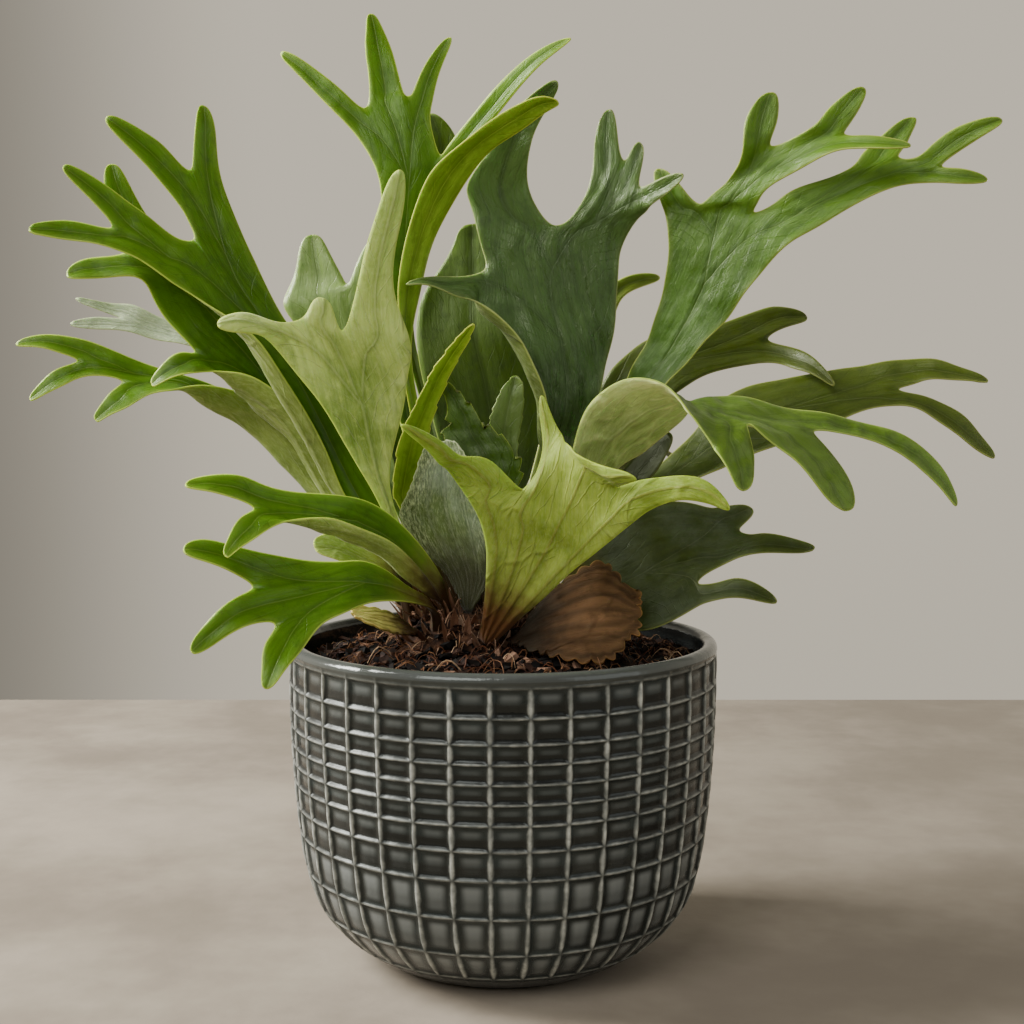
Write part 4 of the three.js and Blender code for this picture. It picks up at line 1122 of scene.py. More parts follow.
def make_frond(frond):
    name = "blade_" + frond["name"].removeprefix("frond_")
    sheet = grow_sheet(frond, name)
    obj = sheet.finish()
    lay_cage_on_outline(obj.data, sheet.tips)
    level = frond.get("level", SMOOTH_LEVEL)
    apply_modifier(obj, "SUBSURF", levels=level, render_levels=level)
    upper, under, slot = FINISHES[frond["finish"]]
    obj.data.materials.append(MATERIALS[frond.get("upper", upper)])
    obj.data.materials.append(MATERIALS[frond.get("under", under)])
    thickness = dress_sheet(obj, frond, rib_lines(frond))
    apply_modifier(obj, "SOLIDIFY", thickness=thickness, offset=-1, vertex_group="thickness",
                   thickness_vertex_group=0, use_rim=True, material_offset=1)
    finish_piece(obj, frond["name"])


# Pot

def wall_radius(height):
    """The outside of the pot's wall: a smooth curve through the level ridges"""
    return np.interp(height, WALL_CURVE[:, 0], WALL_CURVE[:, 1])


WALL_CURVE = smooth_line([(0, FOOT_RADIUS)] + GRID_LINES + [(POT_HEIGHT, RIM_RADIUS)], 12)


def draw_profile(name, points):
    """A line of verts drawn point by point, radius and height, in front of the axis"""
    bpy.ops.object.select_all(action="DESELECT")
    bpy.ops.mesh.primitive_plane_add(size=MM)
    obj = bpy.context.object
    obj.name = name
    obj.data.name = name
    bpy.ops.object.mode_set(mode="EDIT")
    bpy.ops.mesh.select_mode(type="VERT")
    bpy.ops.mesh.merge(type="CENTER")
    places = [(radius * MM, 0, height * MM) for radius, height in points]
    bpy.ops.transform.translate(value=places[0])
    for start, end in zip(places, places[1:]):
        way = [b - a for a, b in zip(start, end)]
        bpy.ops.mesh.extrude_region_move(TRANSFORM_OT_translate={"value": way})
    return obj


def spin_profile(obj, steps):
    """Turns the profile round the pot's axis and closes the seam and the poles"""
    bpy.ops.mesh.select_all(action="SELECT")
    bpy.ops.mesh.spin(steps=steps, angle=2 * math.pi, center=(0, 0, 0), axis=(0, 0, 1))
    bpy.ops.mesh.select_all(action="SELECT")
    bpy.ops.mesh.remove_doubles(threshold=1e-6)
    bpy.ops.mesh.select_all(action="SELECT")
    bpy.ops.mesh.normals_make_consistent(inside=False)
    bpy.ops.object.mode_set(mode="OBJECT")
    return obj


def arc(centre, radius, start, end, steps):
    """Points on an arc in the profile's plane, angles in degrees from outwards to up"""
    angles = [math.radians(start + (end - start) * k / steps) for k in range(steps + 1)]
    return [(centre[0] + radius * math.cos(a), centre[1] + radius * math.sin(a)) for a in angles]


def crowded(count):
    """Shares from 0 to 1 that lie closer together at both ends, where the ridges are"""
    even = np.arange(count) / count
    return even - CROWDING * np.sin(2 * math.pi * even) / (2 * math.pi)


def pot_profile():
    heel = FOOT_RADIUS - HEEL_RADIUS
    foot = [(0, 0), (FOOT_RADIUS * 0.5, 0), (heel, 0)]
    foot += arc((heel, HEEL_RADIUS), HEEL_RADIUS, -90, 0, 3)[1:]
    lower = [(wall_radius(h), h) for h in np.linspace(2.5, GRID_LINES[0][0], 9)[:-1]]
    wall = []
    for (low, _), (high, _) in zip(GRID_LINES, GRID_LINES[1:]):
        wall += [(wall_radius(h), h) for h in low + (high - low) * crowded(STEPS_PER_LINE)]
    rim = [(wall_radius(h), h) for h in (BAND_FOOT, BAND_FOOT + 0.5, BAND_FOOT + 1, BAND_FOOT + 1.6)]
    rim += arc((RIM_RADIUS - WALL / 2, POT_HEIGHT - WALL / 2), WALL / 2, 0, 180, 14)
    inner = [(RIM_RADIUS - WALL, 120)]
    inner += [(wall_radius(h) - WALL, h) for h in (110, *INNER_HEIGHTS)]
    return foot + lower + wall + rim + inner + [(52, FLOOR + 3), (40, FLOOR), (20, FLOOR), (0, FLOOR)]


def crowd_columns(obj):
    """Turns each line of verts so that a ridge lies on one, with more of them close to it"""
    points = read_points(obj.data)
    turn = np.degrees(np.arctan2(points[:, 1], points[:, 0])) % 360
    step = np.round(turn * GRID_COLUMNS * STEPS_PER_COLUMN / 360).astype(int)
    column, within = step // STEPS_PER_COLUMN, step % STEPS_PER_COLUMN
    turn = np.radians(FIRST_RIDGE - 90 + (column + crowded(STEPS_PER_COLUMN)[within]) * 360 / GRID_COLUMNS)
    radius = np.hypot(points[:, 0], points[:, 1])
    points[:, 0], points[:, 1] = radius * np.cos(turn), radius * np.sin(turn)
    write_points(obj.data, points)


def ridge(distance, swell, width, widening, height, rising):
    """How high a ridge stands at a distance from its line"""
    return np.exp(-(distance / (width + widening * swell)) ** 2) * (height + rising * swell ** 0.5)


def glaze_depth(height, lines, side, rise, swell_up, swell_across):
    """How far the glaze lies under the tops of the ridges"""
    upright = ridge(side, swell_up, *UPRIGHT_RIDGE)
    level = ridge(rise, swell_across, *LEVEL_RIDGE)
    pillow = np.clip(side / 5, 0, 1) * np.clip(rise / 3, 0, 1)
    depth = GRID_DEPTH * (1 - upright) * (1 - level) * (1 - 0.14 * pillow)
    band = np.clip(1 - (height - lines[-1]) / 1.6, 0, 1)
    foot = np.clip((height - 3) / 6, 0, 1)
    return depth * np.where(height > lines[-1], band, np.where(height < lines[0], foot, 1))


def shape_glaze(obj):
    """Sinks the cells into the pot's outside, and notes where each point lies in the grid"""
    mesh = obj.data
    points = read_points(mesh)
    radius = np.hypot(points[:, 0], points[:, 1]) / MM
    height = points[:, 2] / MM
    outer = wall_radius(height)
    on_wall = (np.abs(radius - outer) < 1) & (height > 4) & (height < 126)

    turn = np.degrees(np.arctan2(points[:, 1], points[:, 0])) + 90 - FIRST_RIDGE
    column = turn / (360 / GRID_COLUMNS)
    across = column - np.floor(column)
    lines = np.array([line[0] for line in GRID_LINES])
    level = np.interp(height, lines, np.arange(len(lines)))
    up = level - np.floor(level)
    row = np.clip(level.astype(int), 0, len(lines) - 2)
    side = np.minimum(across, 1 - across) * 2 * math.pi * outer / GRID_COLUMNS
    rise = np.minimum(up, 1 - up) * (lines[1:] - lines[:-1])[row]
    above, below = height > lines[-1], height < lines[0]
    rise = np.where(above, height - lines[-1], np.where(below, lines[0] - height, rise))
    swell_up = np.where(above | below, 0.0, np.sin(math.pi * up))
    swell_across = np.sin(math.pi * across)

    depth = np.where(on_wall, glaze_depth(height, lines, side, rise, swell_up, swell_across), 0)
    points[:, :2] *= ((radius - depth) / np.maximum(radius, 1e-6))[:, None]
    write_points(mesh, points)
    in_grid = on_wall & ~above & ~below
    keep_numbers(
        mesh,
        side=np.where(in_grid, side, FAR),
        rise=np.where(on_wall, rise, FAR),
        swell_up=np.where(on_wall, swell_up, 0),
        swell_across=np.where(on_wall, swell_across, 0),
        height_in_cell=np.where(in_grid, up, 1),
    )


def make_pot():
    obj = draw_profile("glazed_pot", pot_profile())
    spin_profile(obj, GRID_COLUMNS * STEPS_PER_COLUMN)
    crowd_columns(obj)
    shape_glaze(obj)
    obj.data.materials.append(MATERIALS["pot_glaze"])
    finish_piece(obj, "pot")


# Soil and rootstock

def soil_height(radius):
    share = radius / (RIM_RADIUS - WALL)
    return SOIL_EDGE + (SOIL_TOP - SOIL_EDGE) * (1 - share * share)


def rough_ground(points, waves):
    return sum(depth * ripple(points, length, seed) for depth, length, seed in waves)


def make_soil():
    inside = RIM_RADIUS - WALL - CLEARANCE
    top = [(inside * share, soil_height(inside * share)) for share in np.linspace(0, 1, 48)]
    wall = [(wall_radius(h) - WALL - CLEARANCE, h) for h in (108, *INNER_HEIGHTS)]
    bottom = [(51, FLOOR + 3.5), (39, FLOOR + 0.5), (0, FLOOR + 0.5)]
    obj = spin_profile(draw_profile("soil_plug", top + wall + bottom), 180)
    mesh = obj.data
    points = read_points(mesh)
    radius = np.hypot(points[:, 0], points[:, 1]) / MM
    loose = (points[:, 2] > (SOIL_EDGE - 2) * MM) & (radius < inside - 1)
    points[:, 2] += np.where(loose, rough_ground(points, SOIL_WAVES) - 0.8, 0) * MM
    write_points(mesh, points)
    mesh.materials.append(MATERIALS["soil"])
    finish_piece(obj, "soil")


def ground_height(x, y):
    """The top of the soil, or of the crown where that is higher"""
    crown = crown_height(x, y) if from_crown(x, y) < CROWN["radius"] else 0
    return max(soil_height(math.hypot(x, y)), crown)


def make_rootstock():
    profile = [(0, CROWN["top"])]
    for degrees in range(85, -1, -5):
        angle = math.radians(degrees)
        rise = (CROWN["top"] - CROWN["waist"]) * math.sin(angle)
        profile.append((CROWN["radius"] * math.cos(angle), CROWN["waist"] + rise))
    foot, foot_radius = CROWN["foot"], CROWN["foot_radius"]
    profile += [(foot_radius + 1, foot + 3), (foot_radius, foot), (0, foot)]
    obj = spin_profile(draw_profile("root_crown", profile), 120)
    points = read_points(obj.data)
    normals = read_normals(obj.data)
    rough = rough_ground(points, CROWN_WAVES) * (points[:, 2] > CROWN["waist"] * MM)
    points += normals * rough[:, None] * MM
    points += np.array((CROWN["x"], CROWN["y"], 0)) * MM
    write_points(obj.data, points)
    obj.data.materials.append(MATERIALS["rootstock"])
    finish_piece(obj, "rootstock")


def close_rings(bm, rings):
    """Faces between rings of verts, and over both ends"""
    sides = len(rings[0])
    for low, high in zip(rings, rings[1:]):
        for side in range(sides):
            after = (side + 1) % sides
            bm.faces.new((low[side], low[after], high[after], high[side]))
    bm.faces.new(rings[0][::-1])
    bm.faces.new(rings[-1])


def add_tube(bm, line, widths, sides):
    """A thin closed tube along a line, in metres"""
    rings = []
    turn = None
    for k, point in enumerate(line):
        way = unit(line[min(k + 1, len(line) - 1)] - line[max(k - 1, 0)])
        if turn is None:
            turn = np.cross(way, (0.3, 0.5, 0.8))
        turn = unit(turn - way * (turn @ way))
        other = np.cross(way, turn)
        ring = []
        for side in range(sides):
            angle = 2 * math.pi * side / sides
            offset = (turn * math.cos(angle) + other * math.sin(angle)) * widths[k] / 2
            ring.append(bm.verts.new(point + offset))
        rings.append(ring)
    close_rings(bm, rings)


def add_fibre(bm, rng, places, length, width, stand=0.5):
    """A thin curled fibre that lies on the ground and stands up from it here and there"""
    x, y = places(rng)
    reach = length * rng.uniform(0.4, 1.3)
    heading = rng.uniform(0, 2 * math.pi)
    bend = rng.uniform(-2.6, 2.6)
    lift = rng.uniform(0, stand)
    steps = 6
    line = []
    for k in range(steps + 1):
        rise = reach * lift * math.sin(math.pi * k / steps)
        height = ground_height(x, y) + 0.3 + rise + rng.uniform(-0.3, 0.5)
        line.append(np.array((x, y, height)) * MM)
        heading += bend / steps + rng.uniform(-0.35, 0.35)
        x += math.cos(heading) * reach / steps
        y += math.sin(heading) * reach / steps
        if math.hypot(x, y) > RIM_RADIUS - WALL - 2:
            break
    if len(line) < 3:
        return
    thick = width * rng.uniform(0.5, 1.4) * MM
    add_tube(bm, line, [thick * (1 - 0.6 * k / (len(line) - 1)) for k in range(len(line))], 4)


def add_chip(bm, rng, places, size):
    """A broken chip of bark, half sunk and turned any way"""
    x, y = places(rng)
    large = size * rng.uniform(0.4, 1.5)
    shape = np.array((large, large * rng.uniform(0.35, 0.8), large * rng.uniform(0.15, 0.4)))
    spin = rng.uniform(0, 2 * math.pi)
    tip, roll = rng.gauss(0, 0.35), rng.gauss(0, 0.45)
    centre = np.array((x, y, ground_height(x, y) + rng.uniform(-0.4, 0.8)))
    rings = []
    for sz in (-1, 1):
        ring = []
        for sx, sy in ((-1, -1), (1, -1), (1, 1), (-1, 1)):
            corner = np.array((sx, sy, sz)) * shape / 2
            corner *= [rng.uniform(0.55, 1.1) for _ in range(3)]
            ring.append(bm.verts.new((turned(corner, spin, tip, roll) + centre) * MM))
        rings.append(ring)
    close_rings(bm, rings)


def add_scale(bm, rng):
    """A narrow papery scale that stands on the crown between the stalks"""
    turn = rng.uniform(0, 2 * math.pi)
    reach = CROWN["radius"] * math.sqrt(rng.uniform(0.15, 1.0))
    x, y = CROWN["x"] + reach * math.cos(turn), CROWN["y"] + reach * math.sin(turn)
    length, width = rng.uniform(6, 15), rng.uniform(1.6, 3.4)
    lean = rng.uniform(0.25, 1.1)
    twist = turn + rng.uniform(-0.5, 0.5)
    out = np.array((math.cos(twist) * math.sin(lean), math.sin(twist) * math.sin(lean), math.cos(lean)))
    side = np.array((-math.sin(twist), math.cos(twist), 0))
    face = np.cross(side, out)
    foot = np.array((x, y, crown_height(x, y) - 1.5))
    curl = rng.uniform(-0.25, 0.35)
    rings = []
    for share, spread_out in ((0, 0.7), (0.25, 1), (0.5, 0.9), (0.75, 0.6), (1, 0.08)):
        middle = foot + out * length * share + face * curl * length * share * share
        cup = face * width * 0.18 * spread_out
        edge = side * width / 2 * spread_out
        thin = face * 0.18
        ring = [middle - edge + cup, middle, middle + edge + cup,
                middle + edge + cup - thin, middle - thin * 1.6, middle - edge + cup - thin]
        rings.append([bm.verts.new(point * MM) for point in ring])
    close_rings(bm, rings)


def turned(point, spin, tip, roll):
    """A point turned about X, then Y, then Z"""
    x, y, z = point
    y, z = y * math.cos(roll) - z * math.sin(roll), y * math.sin(roll) + z * math.cos(roll)
    x, z = x * math.cos(tip) + z * math.sin(tip), -x * math.sin(tip) + z * math.cos(tip)
    x, y = x * math.cos(spin) - y * math.sin(spin), x * math.sin(spin) + y * math.cos(spin)
    return np.array((x, y, z))


def scatter(name, material, slot, count, seed, add_one, *sizes):
    """Many small pieces in one mesh, each with a tone of its own"""
    rng = random.Random(seed)
    bm = bmesh.new()
    tones = []
    for _ in range(count):
        add_one(bm, rng, *sizes)
        if len(bm.faces) > len(tones):
            tones += [rng.random()] * (len(bm.faces) - len(tones))
    bmesh.ops.recalc_face_normals(bm, faces=bm.faces)
    mesh = bpy.data.meshes.new(name)
    bm.to_mesh(mesh)
    bm.free()
    obj = bpy.data.objects.new(name, mesh)
    bpy.context.collection.objects.link(obj)
    keep_numbers(mesh, "FACE", tone=tones)
    mesh.materials.append(MATERIALS[material])
    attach(obj, "root")


def on_soil(rng):
    """A place inside the pot's wall that isn't on the crown"""
    reach = RIM_RADIUS - WALL - 2
    while True:
        x, y = rng.uniform(-reach, reach), rng.uniform(-reach, reach)
        if math.hypot(x, y) < reach - 1 and from_crown(x, y) > BARE_CROWN:
            return x, y


def on_crown(rng):
    """A place on the crown or just beside it"""
    reach = CROWN["radius"] + 1
    while True:
        x, y = rng.uniform(-reach, reach), rng.uniform(-reach, reach)
        if math.hypot(x, y) < reach + 1:
            return CROWN["x"] + x, CROWN["y"] + y


# Materials. Patterns read Object coordinates, or the numbers kept on the mesh.

class NodeTree:
    """A node tree and short ways to add nodes to it"""

    def __init__(self, owner):
        owner.use_nodes = True
        self.nodes, self.links = owner.node_tree.nodes, owner.node_tree.links
        self.coordinates = self.add_node("TexCoord", {})

    def set(self, socket, value):
        if isinstance(value, bpy.types.NodeSocket):
            self.links.new(value, socket)
        else:
            socket.default_value = value

    def add_node(self, kind, values, **settings):
        """The outputs of a new node, once its settings and its sockets' values are in"""
        node = self.nodes.new("ShaderNode" + kind)
        for name, value in settings.items():
            setattr(node, name, value)
        for socket, value in values.items():
            self.set(node.inputs[socket], value)
        return node.outputs

    def maths(self, operation, a, b=0.0, c=0.0):
        return self.add_node("Math", {0: a, 1: b, 2: c}, operation=operation)[0]

    def times(self, a, b):
        return self.maths("MULTIPLY", a, b)

    def separate(self, vector):
        return self.add_node("SeparateXYZ", {0: vector})

    def ramp(self, value, low, high, start=0.0, end=1.0):
        """Goes smoothly from start to end as the value goes from low to high, and holds the ends"""
        values = {"Value": value, "From Min": low, "From Max": high, "To Min": start, "To Max": end}
        return self.add_node("MapRange", values, interpolation_type="SMOOTHSTEP")["Result"]


class Finish(NodeTree):
    """A material whose colour and height are laid on in layers"""

    def __init__(self, name, roughness=0.5):
        self.material = bpy.data.materials.new(name)
        super().__init__(self.material)
        self.object = self.coordinates["Object"]
        self.shader = self.nodes["Principled BSDF"]
        self.shade({"Roughness": roughness})

    def shade(self, values):
        for socket, value in values.items():
            self.set(self.shader.inputs[socket], value)

    def number(self, name):
        return self.add_node("Attribute", {}, attribute_name=name)["Fac"]

    def growth(self, across, along):
        """Coordinates that run across and along the frond, in cycles a metre"""
        uv = self.add_node("UVMap", {}, uv_map="growth")["UV"]
        return self.add_node("Mapping", {"Vector": uv, "Scale": (across, along, 1)})["Vector"]

    def noise(self, scale, detail=3, rough=0.5, where=None, distortion=0.0):
        values = {"Scale": scale, "Detail": detail, "Roughness": rough, "Distortion": distortion}
        return self.add_node("TexNoise", {"Vector": where or self.object, **values})["Fac"]

    def cells(self, where):
        """How far a place is from the edge of its cell, with about one cell to each unit"""
        values = {"Vector": where, "Scale": 1}
        return self.add_node("TexVoronoi", values, feature="DISTANCE_TO_EDGE")["Distance"]

    def bent(self, where, amount, scale):
        """The same coordinates, pushed about by noise"""
        noise = self.add_node("TexNoise", {"Vector": where, "Scale": 1 / scale})["Color"]
        values = {0: noise, 1: (amount * 2,) * 3, 2: where}
        return self.add_node("VectorMath", values, operation="MULTIPLY_ADD")["Vector"]

    def scaled(self, value, factor):
        return self.add_node("VectorMath", {0: value, "Scale": factor}, operation="SCALE")["Vector"]

    def mix(self, share, a, b):
        values = {"Factor": share, "A": colour(a), "B": colour(b)}
        return self.add_node("Mix", values, data_type="RGBA")["Result"]

    def bump(self, height, distance, strength=1.0, after=None):
        values = {"Strength": strength, "Distance": distance * MM, "Height": height}
        if after is not None:
            values["Normal"] = after
        return self.add_node("Bump", values)["Normal"]

    def paint(self, share, value):
        """Lays a colour over the ones so far"""
        self.body = self.mix(share, self.body, value)

    def lift(self, value, share):
        """Adds to the height that the bump shows"""
        self.height = self.maths("MULTIPLY_ADD", value, share, self.height)


def colour(value):
    """A hex colour as seen on a screen, turned into light"""
    if not isinstance(value, int):
        return value
    parts = [(value >> shift & 255) / 255 for shift in (16, 8, 0)]
    light = [p / 12.92 if p <= 0.04045 else ((p + 0.055) / 1.055) ** 2.4 for p in parts]
    return (*light, 1.0)


# The gap between side veins, and how far up a stalk its dull green and its brown base fade out
VEIN_GAP = 11
STALK_REACH = (23.8, 54.4)
BASE_REACH = (24, 46)
FELT_COLOUR = 0xb4bf96
BLOOM_COLOUR = 0x87938a


def paint_patches(leaf, dark, light, tip, wrinkles):
    """Patches, streaks and folds with painted shade in their hollows, and a paler tip"""
    patches = leaf.noise(22, 4, 0.55)
    fine = leaf.noise(170, 4, 0.6)
    streaks = leaf.noise(1, 4, 0.6, leaf.growth(430, 22))
    folds = leaf.noise(1, 4, 0.6, leaf.growth(170, 20))
    crinkles = leaf.noise(1, 4, 0.65, leaf.growth(620, 130), 0.6)
    leaf.body = leaf.mix(leaf.ramp(patches, 0.3, 0.7), dark, light)
    leaf.paint(leaf.ramp(leaf.number("share"), 0.35, 1.0, 0, 0.75), tip)
    leaf.paint(leaf.ramp(streaks, 0.42, 0.8, 0, 0.5), light)
    leaf.paint(leaf.ramp(streaks, 0.52, 0.2, 0, 0.5), dark)
    leaf.paint(leaf.ramp(fine, 0.48, 0.75, 0, 0.45), dark)
    leaf.paint(leaf.ramp(leaf.noise(260, 5, 0.7), 0.52, 0.72, 0, 0.4), light)
    # Painted shade: darker where the folds' bump sinks
    leaf.paint(leaf.ramp(folds, 0.5, 0.25, 0, 0.35), dark)
    leaf.height = leaf.times(fine, 0.4)
    leaf.lift(streaks, 0.45)
    leaf.lift(folds, wrinkles)
    leaf.lift(crinkles, wrinkles * 1.2)
    return patches, fine, streaks


def paint_side_veins(leaf, span, value, veins, raised):
    """Slanting veins that leave the rib on both sides, painted dark as shade where they are sunken"""
    rank = leaf.maths("MULTIPLY_ADD", span, -2.2, leaf.number("along"))
    rank = leaf.maths("MULTIPLY_ADD", leaf.noise(38, 3), 22, rank)
    rank = leaf.maths("FRACT", leaf.maths("DIVIDE", rank, VEIN_GAP))
    vein = leaf.ramp(leaf.maths("ABSOLUTE", leaf.maths("SUBTRACT", rank, 0.5)), 0.01, 0.07, 1, 0)
    vein = leaf.times(vein, leaf.ramp(span, 0.6, 2.0))
    vein = leaf.times(vein, leaf.ramp(leaf.noise(60, 3), 0.38, 0.6, 0.15, 1))
    leaf.paint(leaf.times(vein, veins), value)
    leaf.lift(vein, raised)


def paint_net(leaf, value, net):
    """A net of small raised veins"""
    bent = leaf.bent(leaf.growth(120, 48), 0.55, 2.2)
    vein = leaf.ramp(leaf.cells(bent), 0.0, 0.12, 1, 0)
    vein = leaf.times(vein, leaf.ramp(leaf.noise(40, 2), 0.38, 0.62))
    leaf.paint(leaf.times(vein, net), value)
    leaf.lift(vein, 0.9)


def paint_rib(leaf, span, dark, rib, width, share, raised):
    """The rib's line, with painted shade in the hollow beside it"""
    line = leaf.ramp(span, width * 0.4, width * 2, 1, 0)
    # Painted shade: darker beside the rib, as in the shade of its crease
    leaf.paint(leaf.ramp(span, 0.3, 2.2, 0.4, 0), dark)
    leaf.paint(leaf.times(line, share), rib)
    leaf.lift(line, raised)


def paint_felt(leaf, patches, felt, bare_middle):
    """Short pale hairs, thinner where the middle is bare"""
    hairs = leaf.noise(1, 5, 0.75, leaf.growth(1500, 330))
    cover = leaf.times(leaf.ramp(hairs, 0.42, 0.68), leaf.ramp(patches, 0.25, 0.7, 0.4, 1))
    cover = leaf.times(cover, leaf.ramp(leaf.number("edge"), 1.5, 11, 1, bare_middle))
    leaf.paint(leaf.times(cover, felt), FELT_COLOUR)
    leaf.lift(hairs, felt)


def paint_ends(leaf, margin, stalk, base):
    """The pale margin, the stalk's dull green and its brown base"""
    edge = leaf.number("edge")
    leaf.paint(leaf.ramp(edge, 0.1, 0.6, 0.75, 0), margin)
    leaf.paint(leaf.ramp(edge, 0.4, 3.0, 0.1, 0), margin)
    reach = leaf.maths("MULTIPLY_ADD", leaf.noise(260, 3), 12, leaf.number("along"))
    leaf.paint(leaf.ramp(reach, *STALK_REACH, 0.85, 0), stalk)
    # Painted light and shade, in part: the tint brightens or darkens each frond besides its own green
    leaf.body = leaf.scaled(leaf.body, leaf.number("tint"))
    leaf.paint(leaf.ramp(reach, *BASE_REACH, 1, 0), base)


def leaf_finish(name, dark, light, tip, rib, margin, roughness=0.38, net=0.0, felt=0.0, rib_width=0.2,
                rib_share=0.13, sheen=0.0, base=0x3a2410, stalk=0x6f6a2c, bloom=0.0, raised=-0.18,
                veins=0.1, gloss=0.34, wrinkles=0.3, bare_middle=1.0):
    """A leaf's side, from its patches and veins to its margin and stalk"""
    leaf = Finish(name, roughness)
    patches, fine, streaks = paint_patches(leaf, dark, light, tip, wrinkles)
    span = leaf.maths("ABSOLUTE", leaf.number("rib"))
    # Sunken veins take the dark colour, painted shade in their grooves; raised ones take the rib's colour
    paint_side_veins(leaf, span, dark if raised < 0 else rib, veins, raised)
    if net:
        paint_net(leaf, rib, net)
    paint_rib(leaf, span, dark, rib, rib_width, rib_share, raised)
    if bloom:
        leaf.paint(leaf.times(leaf.ramp(leaf.noise(30, 5, 0.7), 0.4, 0.72), bloom), BLOOM_COLOUR)
    if felt:
        paint_felt(leaf, patches, felt, bare_middle)
    paint_ends(leaf, margin, stalk, base)

    shine = leaf.maths("MULTIPLY_ADD", streaks, 0.5, leaf.times(fine, 0.5))
    normal = leaf.bump(leaf.height, 0.5, 0.9)
    leaf.shade({
        "Base Color": leaf.body,
        "Roughness": leaf.ramp(shine, 0.35, 0.65, roughness - 0.1, roughness + 0.16),
        "Normal": leaf.bump(leaf.noise(620, 3, 0.6), 0.1 + 0.2 * felt, 0.7, normal),
        "Specular IOR Level": gloss,
        "Specular Tint": (0.92, 1.0, 0.75, 1),
        "Sheen Weight": sheen,
        "Sheen Roughness": 0.4,
        "Subsurface Weight": 0.12,
        "Subsurface Radius": (0.002, 0.004, 0.0008),
        "Subsurface Scale": 1.0,
    })
    return leaf.material


# The height in metres over which the grid gives way to the band at the rim
BAND_FADE = (0.1225, 0.1245)


def bare_ridges(pot, side, rise):
    """Where the glaze breaks pale on the ridges, less at their crossings"""
    swell_up, swell_across = pot.number("swell_up"), pot.number("swell_across")
    wobble = pot.ramp(pot.noise(140, 4, 0.6), 0.3, 0.7, 0.8, 1.25)
    wide = pot.times(pot.ramp(swell_up, 0.0, 0.9, 0.55, 0.85), wobble)
    upright = pot.ramp(pot.maths("DIVIDE", side, wide), 0.1, 1.7, 1, 0)
    upright = pot.times(upright, pot.ramp(swell_up, 0.0, 0.55, 0.3, 1))
    thin = pot.times(pot.ramp(swell_across, 0.0, 0.9, 0.32, 0.48), wobble)
    level = pot.ramp(pot.maths("DIVIDE", rise, thin), 0.1, 2.0, 0.66, 0)
    level = pot.times(level, pot.ramp(swell_across, 0.0, 0.5, 0.3, 0.9))
    bare = pot.maths("MAXIMUM", upright, level)
    return pot.times(bare, pot.ramp(pot.noise(55, 4, 0.6), 0.3, 0.65, 0.6, 1.0))


def paint_cells(pot, side, rise, height):
    """Dark glaze in the cells, with painted shade on their lower halves and painted light on their
    upper halves, and a painted reflection that greys their middles, most in the lowest rows
    """
    pot.body = pot.mix(pot.ramp(pot.noise(40, 5, 0.6), 0.35, 0.7), 0x0d1413, 0x20292a)
    low_rows = pot.ramp(height, 0.042, 0.068, 1, 0)
    middle = pot.times(pot.ramp(side, 2.0, 5.5), pot.ramp(rise, 1.6, 4.2))
    # Painted reflection: the cells' middles are greyed, most in the lowest rows, for the floor and wall
    # they mirror
    pot.paint(pot.times(middle, pot.ramp(low_rows, 0, 1, 0.2, 0.7)), 0x757a79)
    # Painted shade: the cells' lower halves are darkened to near black, less in the lowest rows
    shaded_lower_half = pot.ramp(pot.number("height_in_cell"), 0.38, 0.56, 1, 0)
    shaded_lower_half = pot.times(shaded_lower_half, pot.ramp(low_rows, 0, 1, 0.95, 0.3))
    pot.paint(shaded_lower_half, 0x060708)
    # Painted light: the cells' upper middles are lightened, as if lit from above
    upper = pot.times(pot.ramp(pot.number("height_in_cell"), 0.5, 0.75), middle)
    pot.paint(pot.times(upper, 0.45), 0x7f8483)


def shaded_ends(pot, height):
    """The foot and the inside of the pot, where no light gets in"""
    foot = pot.ramp(height, 0.004, 0.011, 0.8, 0)
    across, deep, _ = pot.separate(pot.object)
    round_axis = pot.maths("SQRT", pot.maths("MULTIPLY_ADD", across, across, pot.times(deep, deep)))
    inside = pot.times(pot.ramp(round_axis, 0.0806, 0.0826, 0.85, 0), pot.ramp(height, 0.1, 0.112))
    return pot.maths("MAXIMUM", foot, inside)


def glaze_finish():
    """Glossy glaze over the grid, with a plain band at the rim"""
    pot = Finish("pot_glaze", 0.15)
    side, rise = pot.number("side"), pot.number("rise")
    height = pot.separate(pot.object)[2]
    paint_cells(pot, side, rise, height)
    pale = pot.mix(pot.ramp(pot.noise(260, 3), 0.35, 0.7), 0x8a8e89, 0xbfc2b9)
    pot.paint(bare_ridges(pot, side, rise), pale)
    pot.paint(pot.ramp(height, *BAND_FADE, 0, 0.75), 0x3f423f)
    pot.paint(shaded_ends(pot, height), 0x060707)
    smooth = pot.maths("MINIMUM", pot.ramp(side, 0.8, 3.2), pot.ramp(rise, 0.8, 3.0))
    smooth = pot.times(smooth, pot.ramp(pot.noise(90, 3, 0.6), 0.3, 0.6, 0.7, 1.0))
    smooth = pot.maths("MAXIMUM", smooth, pot.ramp(height, *BAND_FADE))
    normal = pot.bump(pot.noise(130, 4, 0.6), 0.9, 0.4)
    pot.shade({
        "Base Color": pot.body,
        "Roughness": pot.ramp(smooth, 0, 1, 0.36, 0.15),
        "Normal": pot.bump(pot.noise(420, 2), 0.05, 0.4, normal),
        "Specular Tint": (0.92, 1.0, 0.97, 1),
    })
    return pot.material


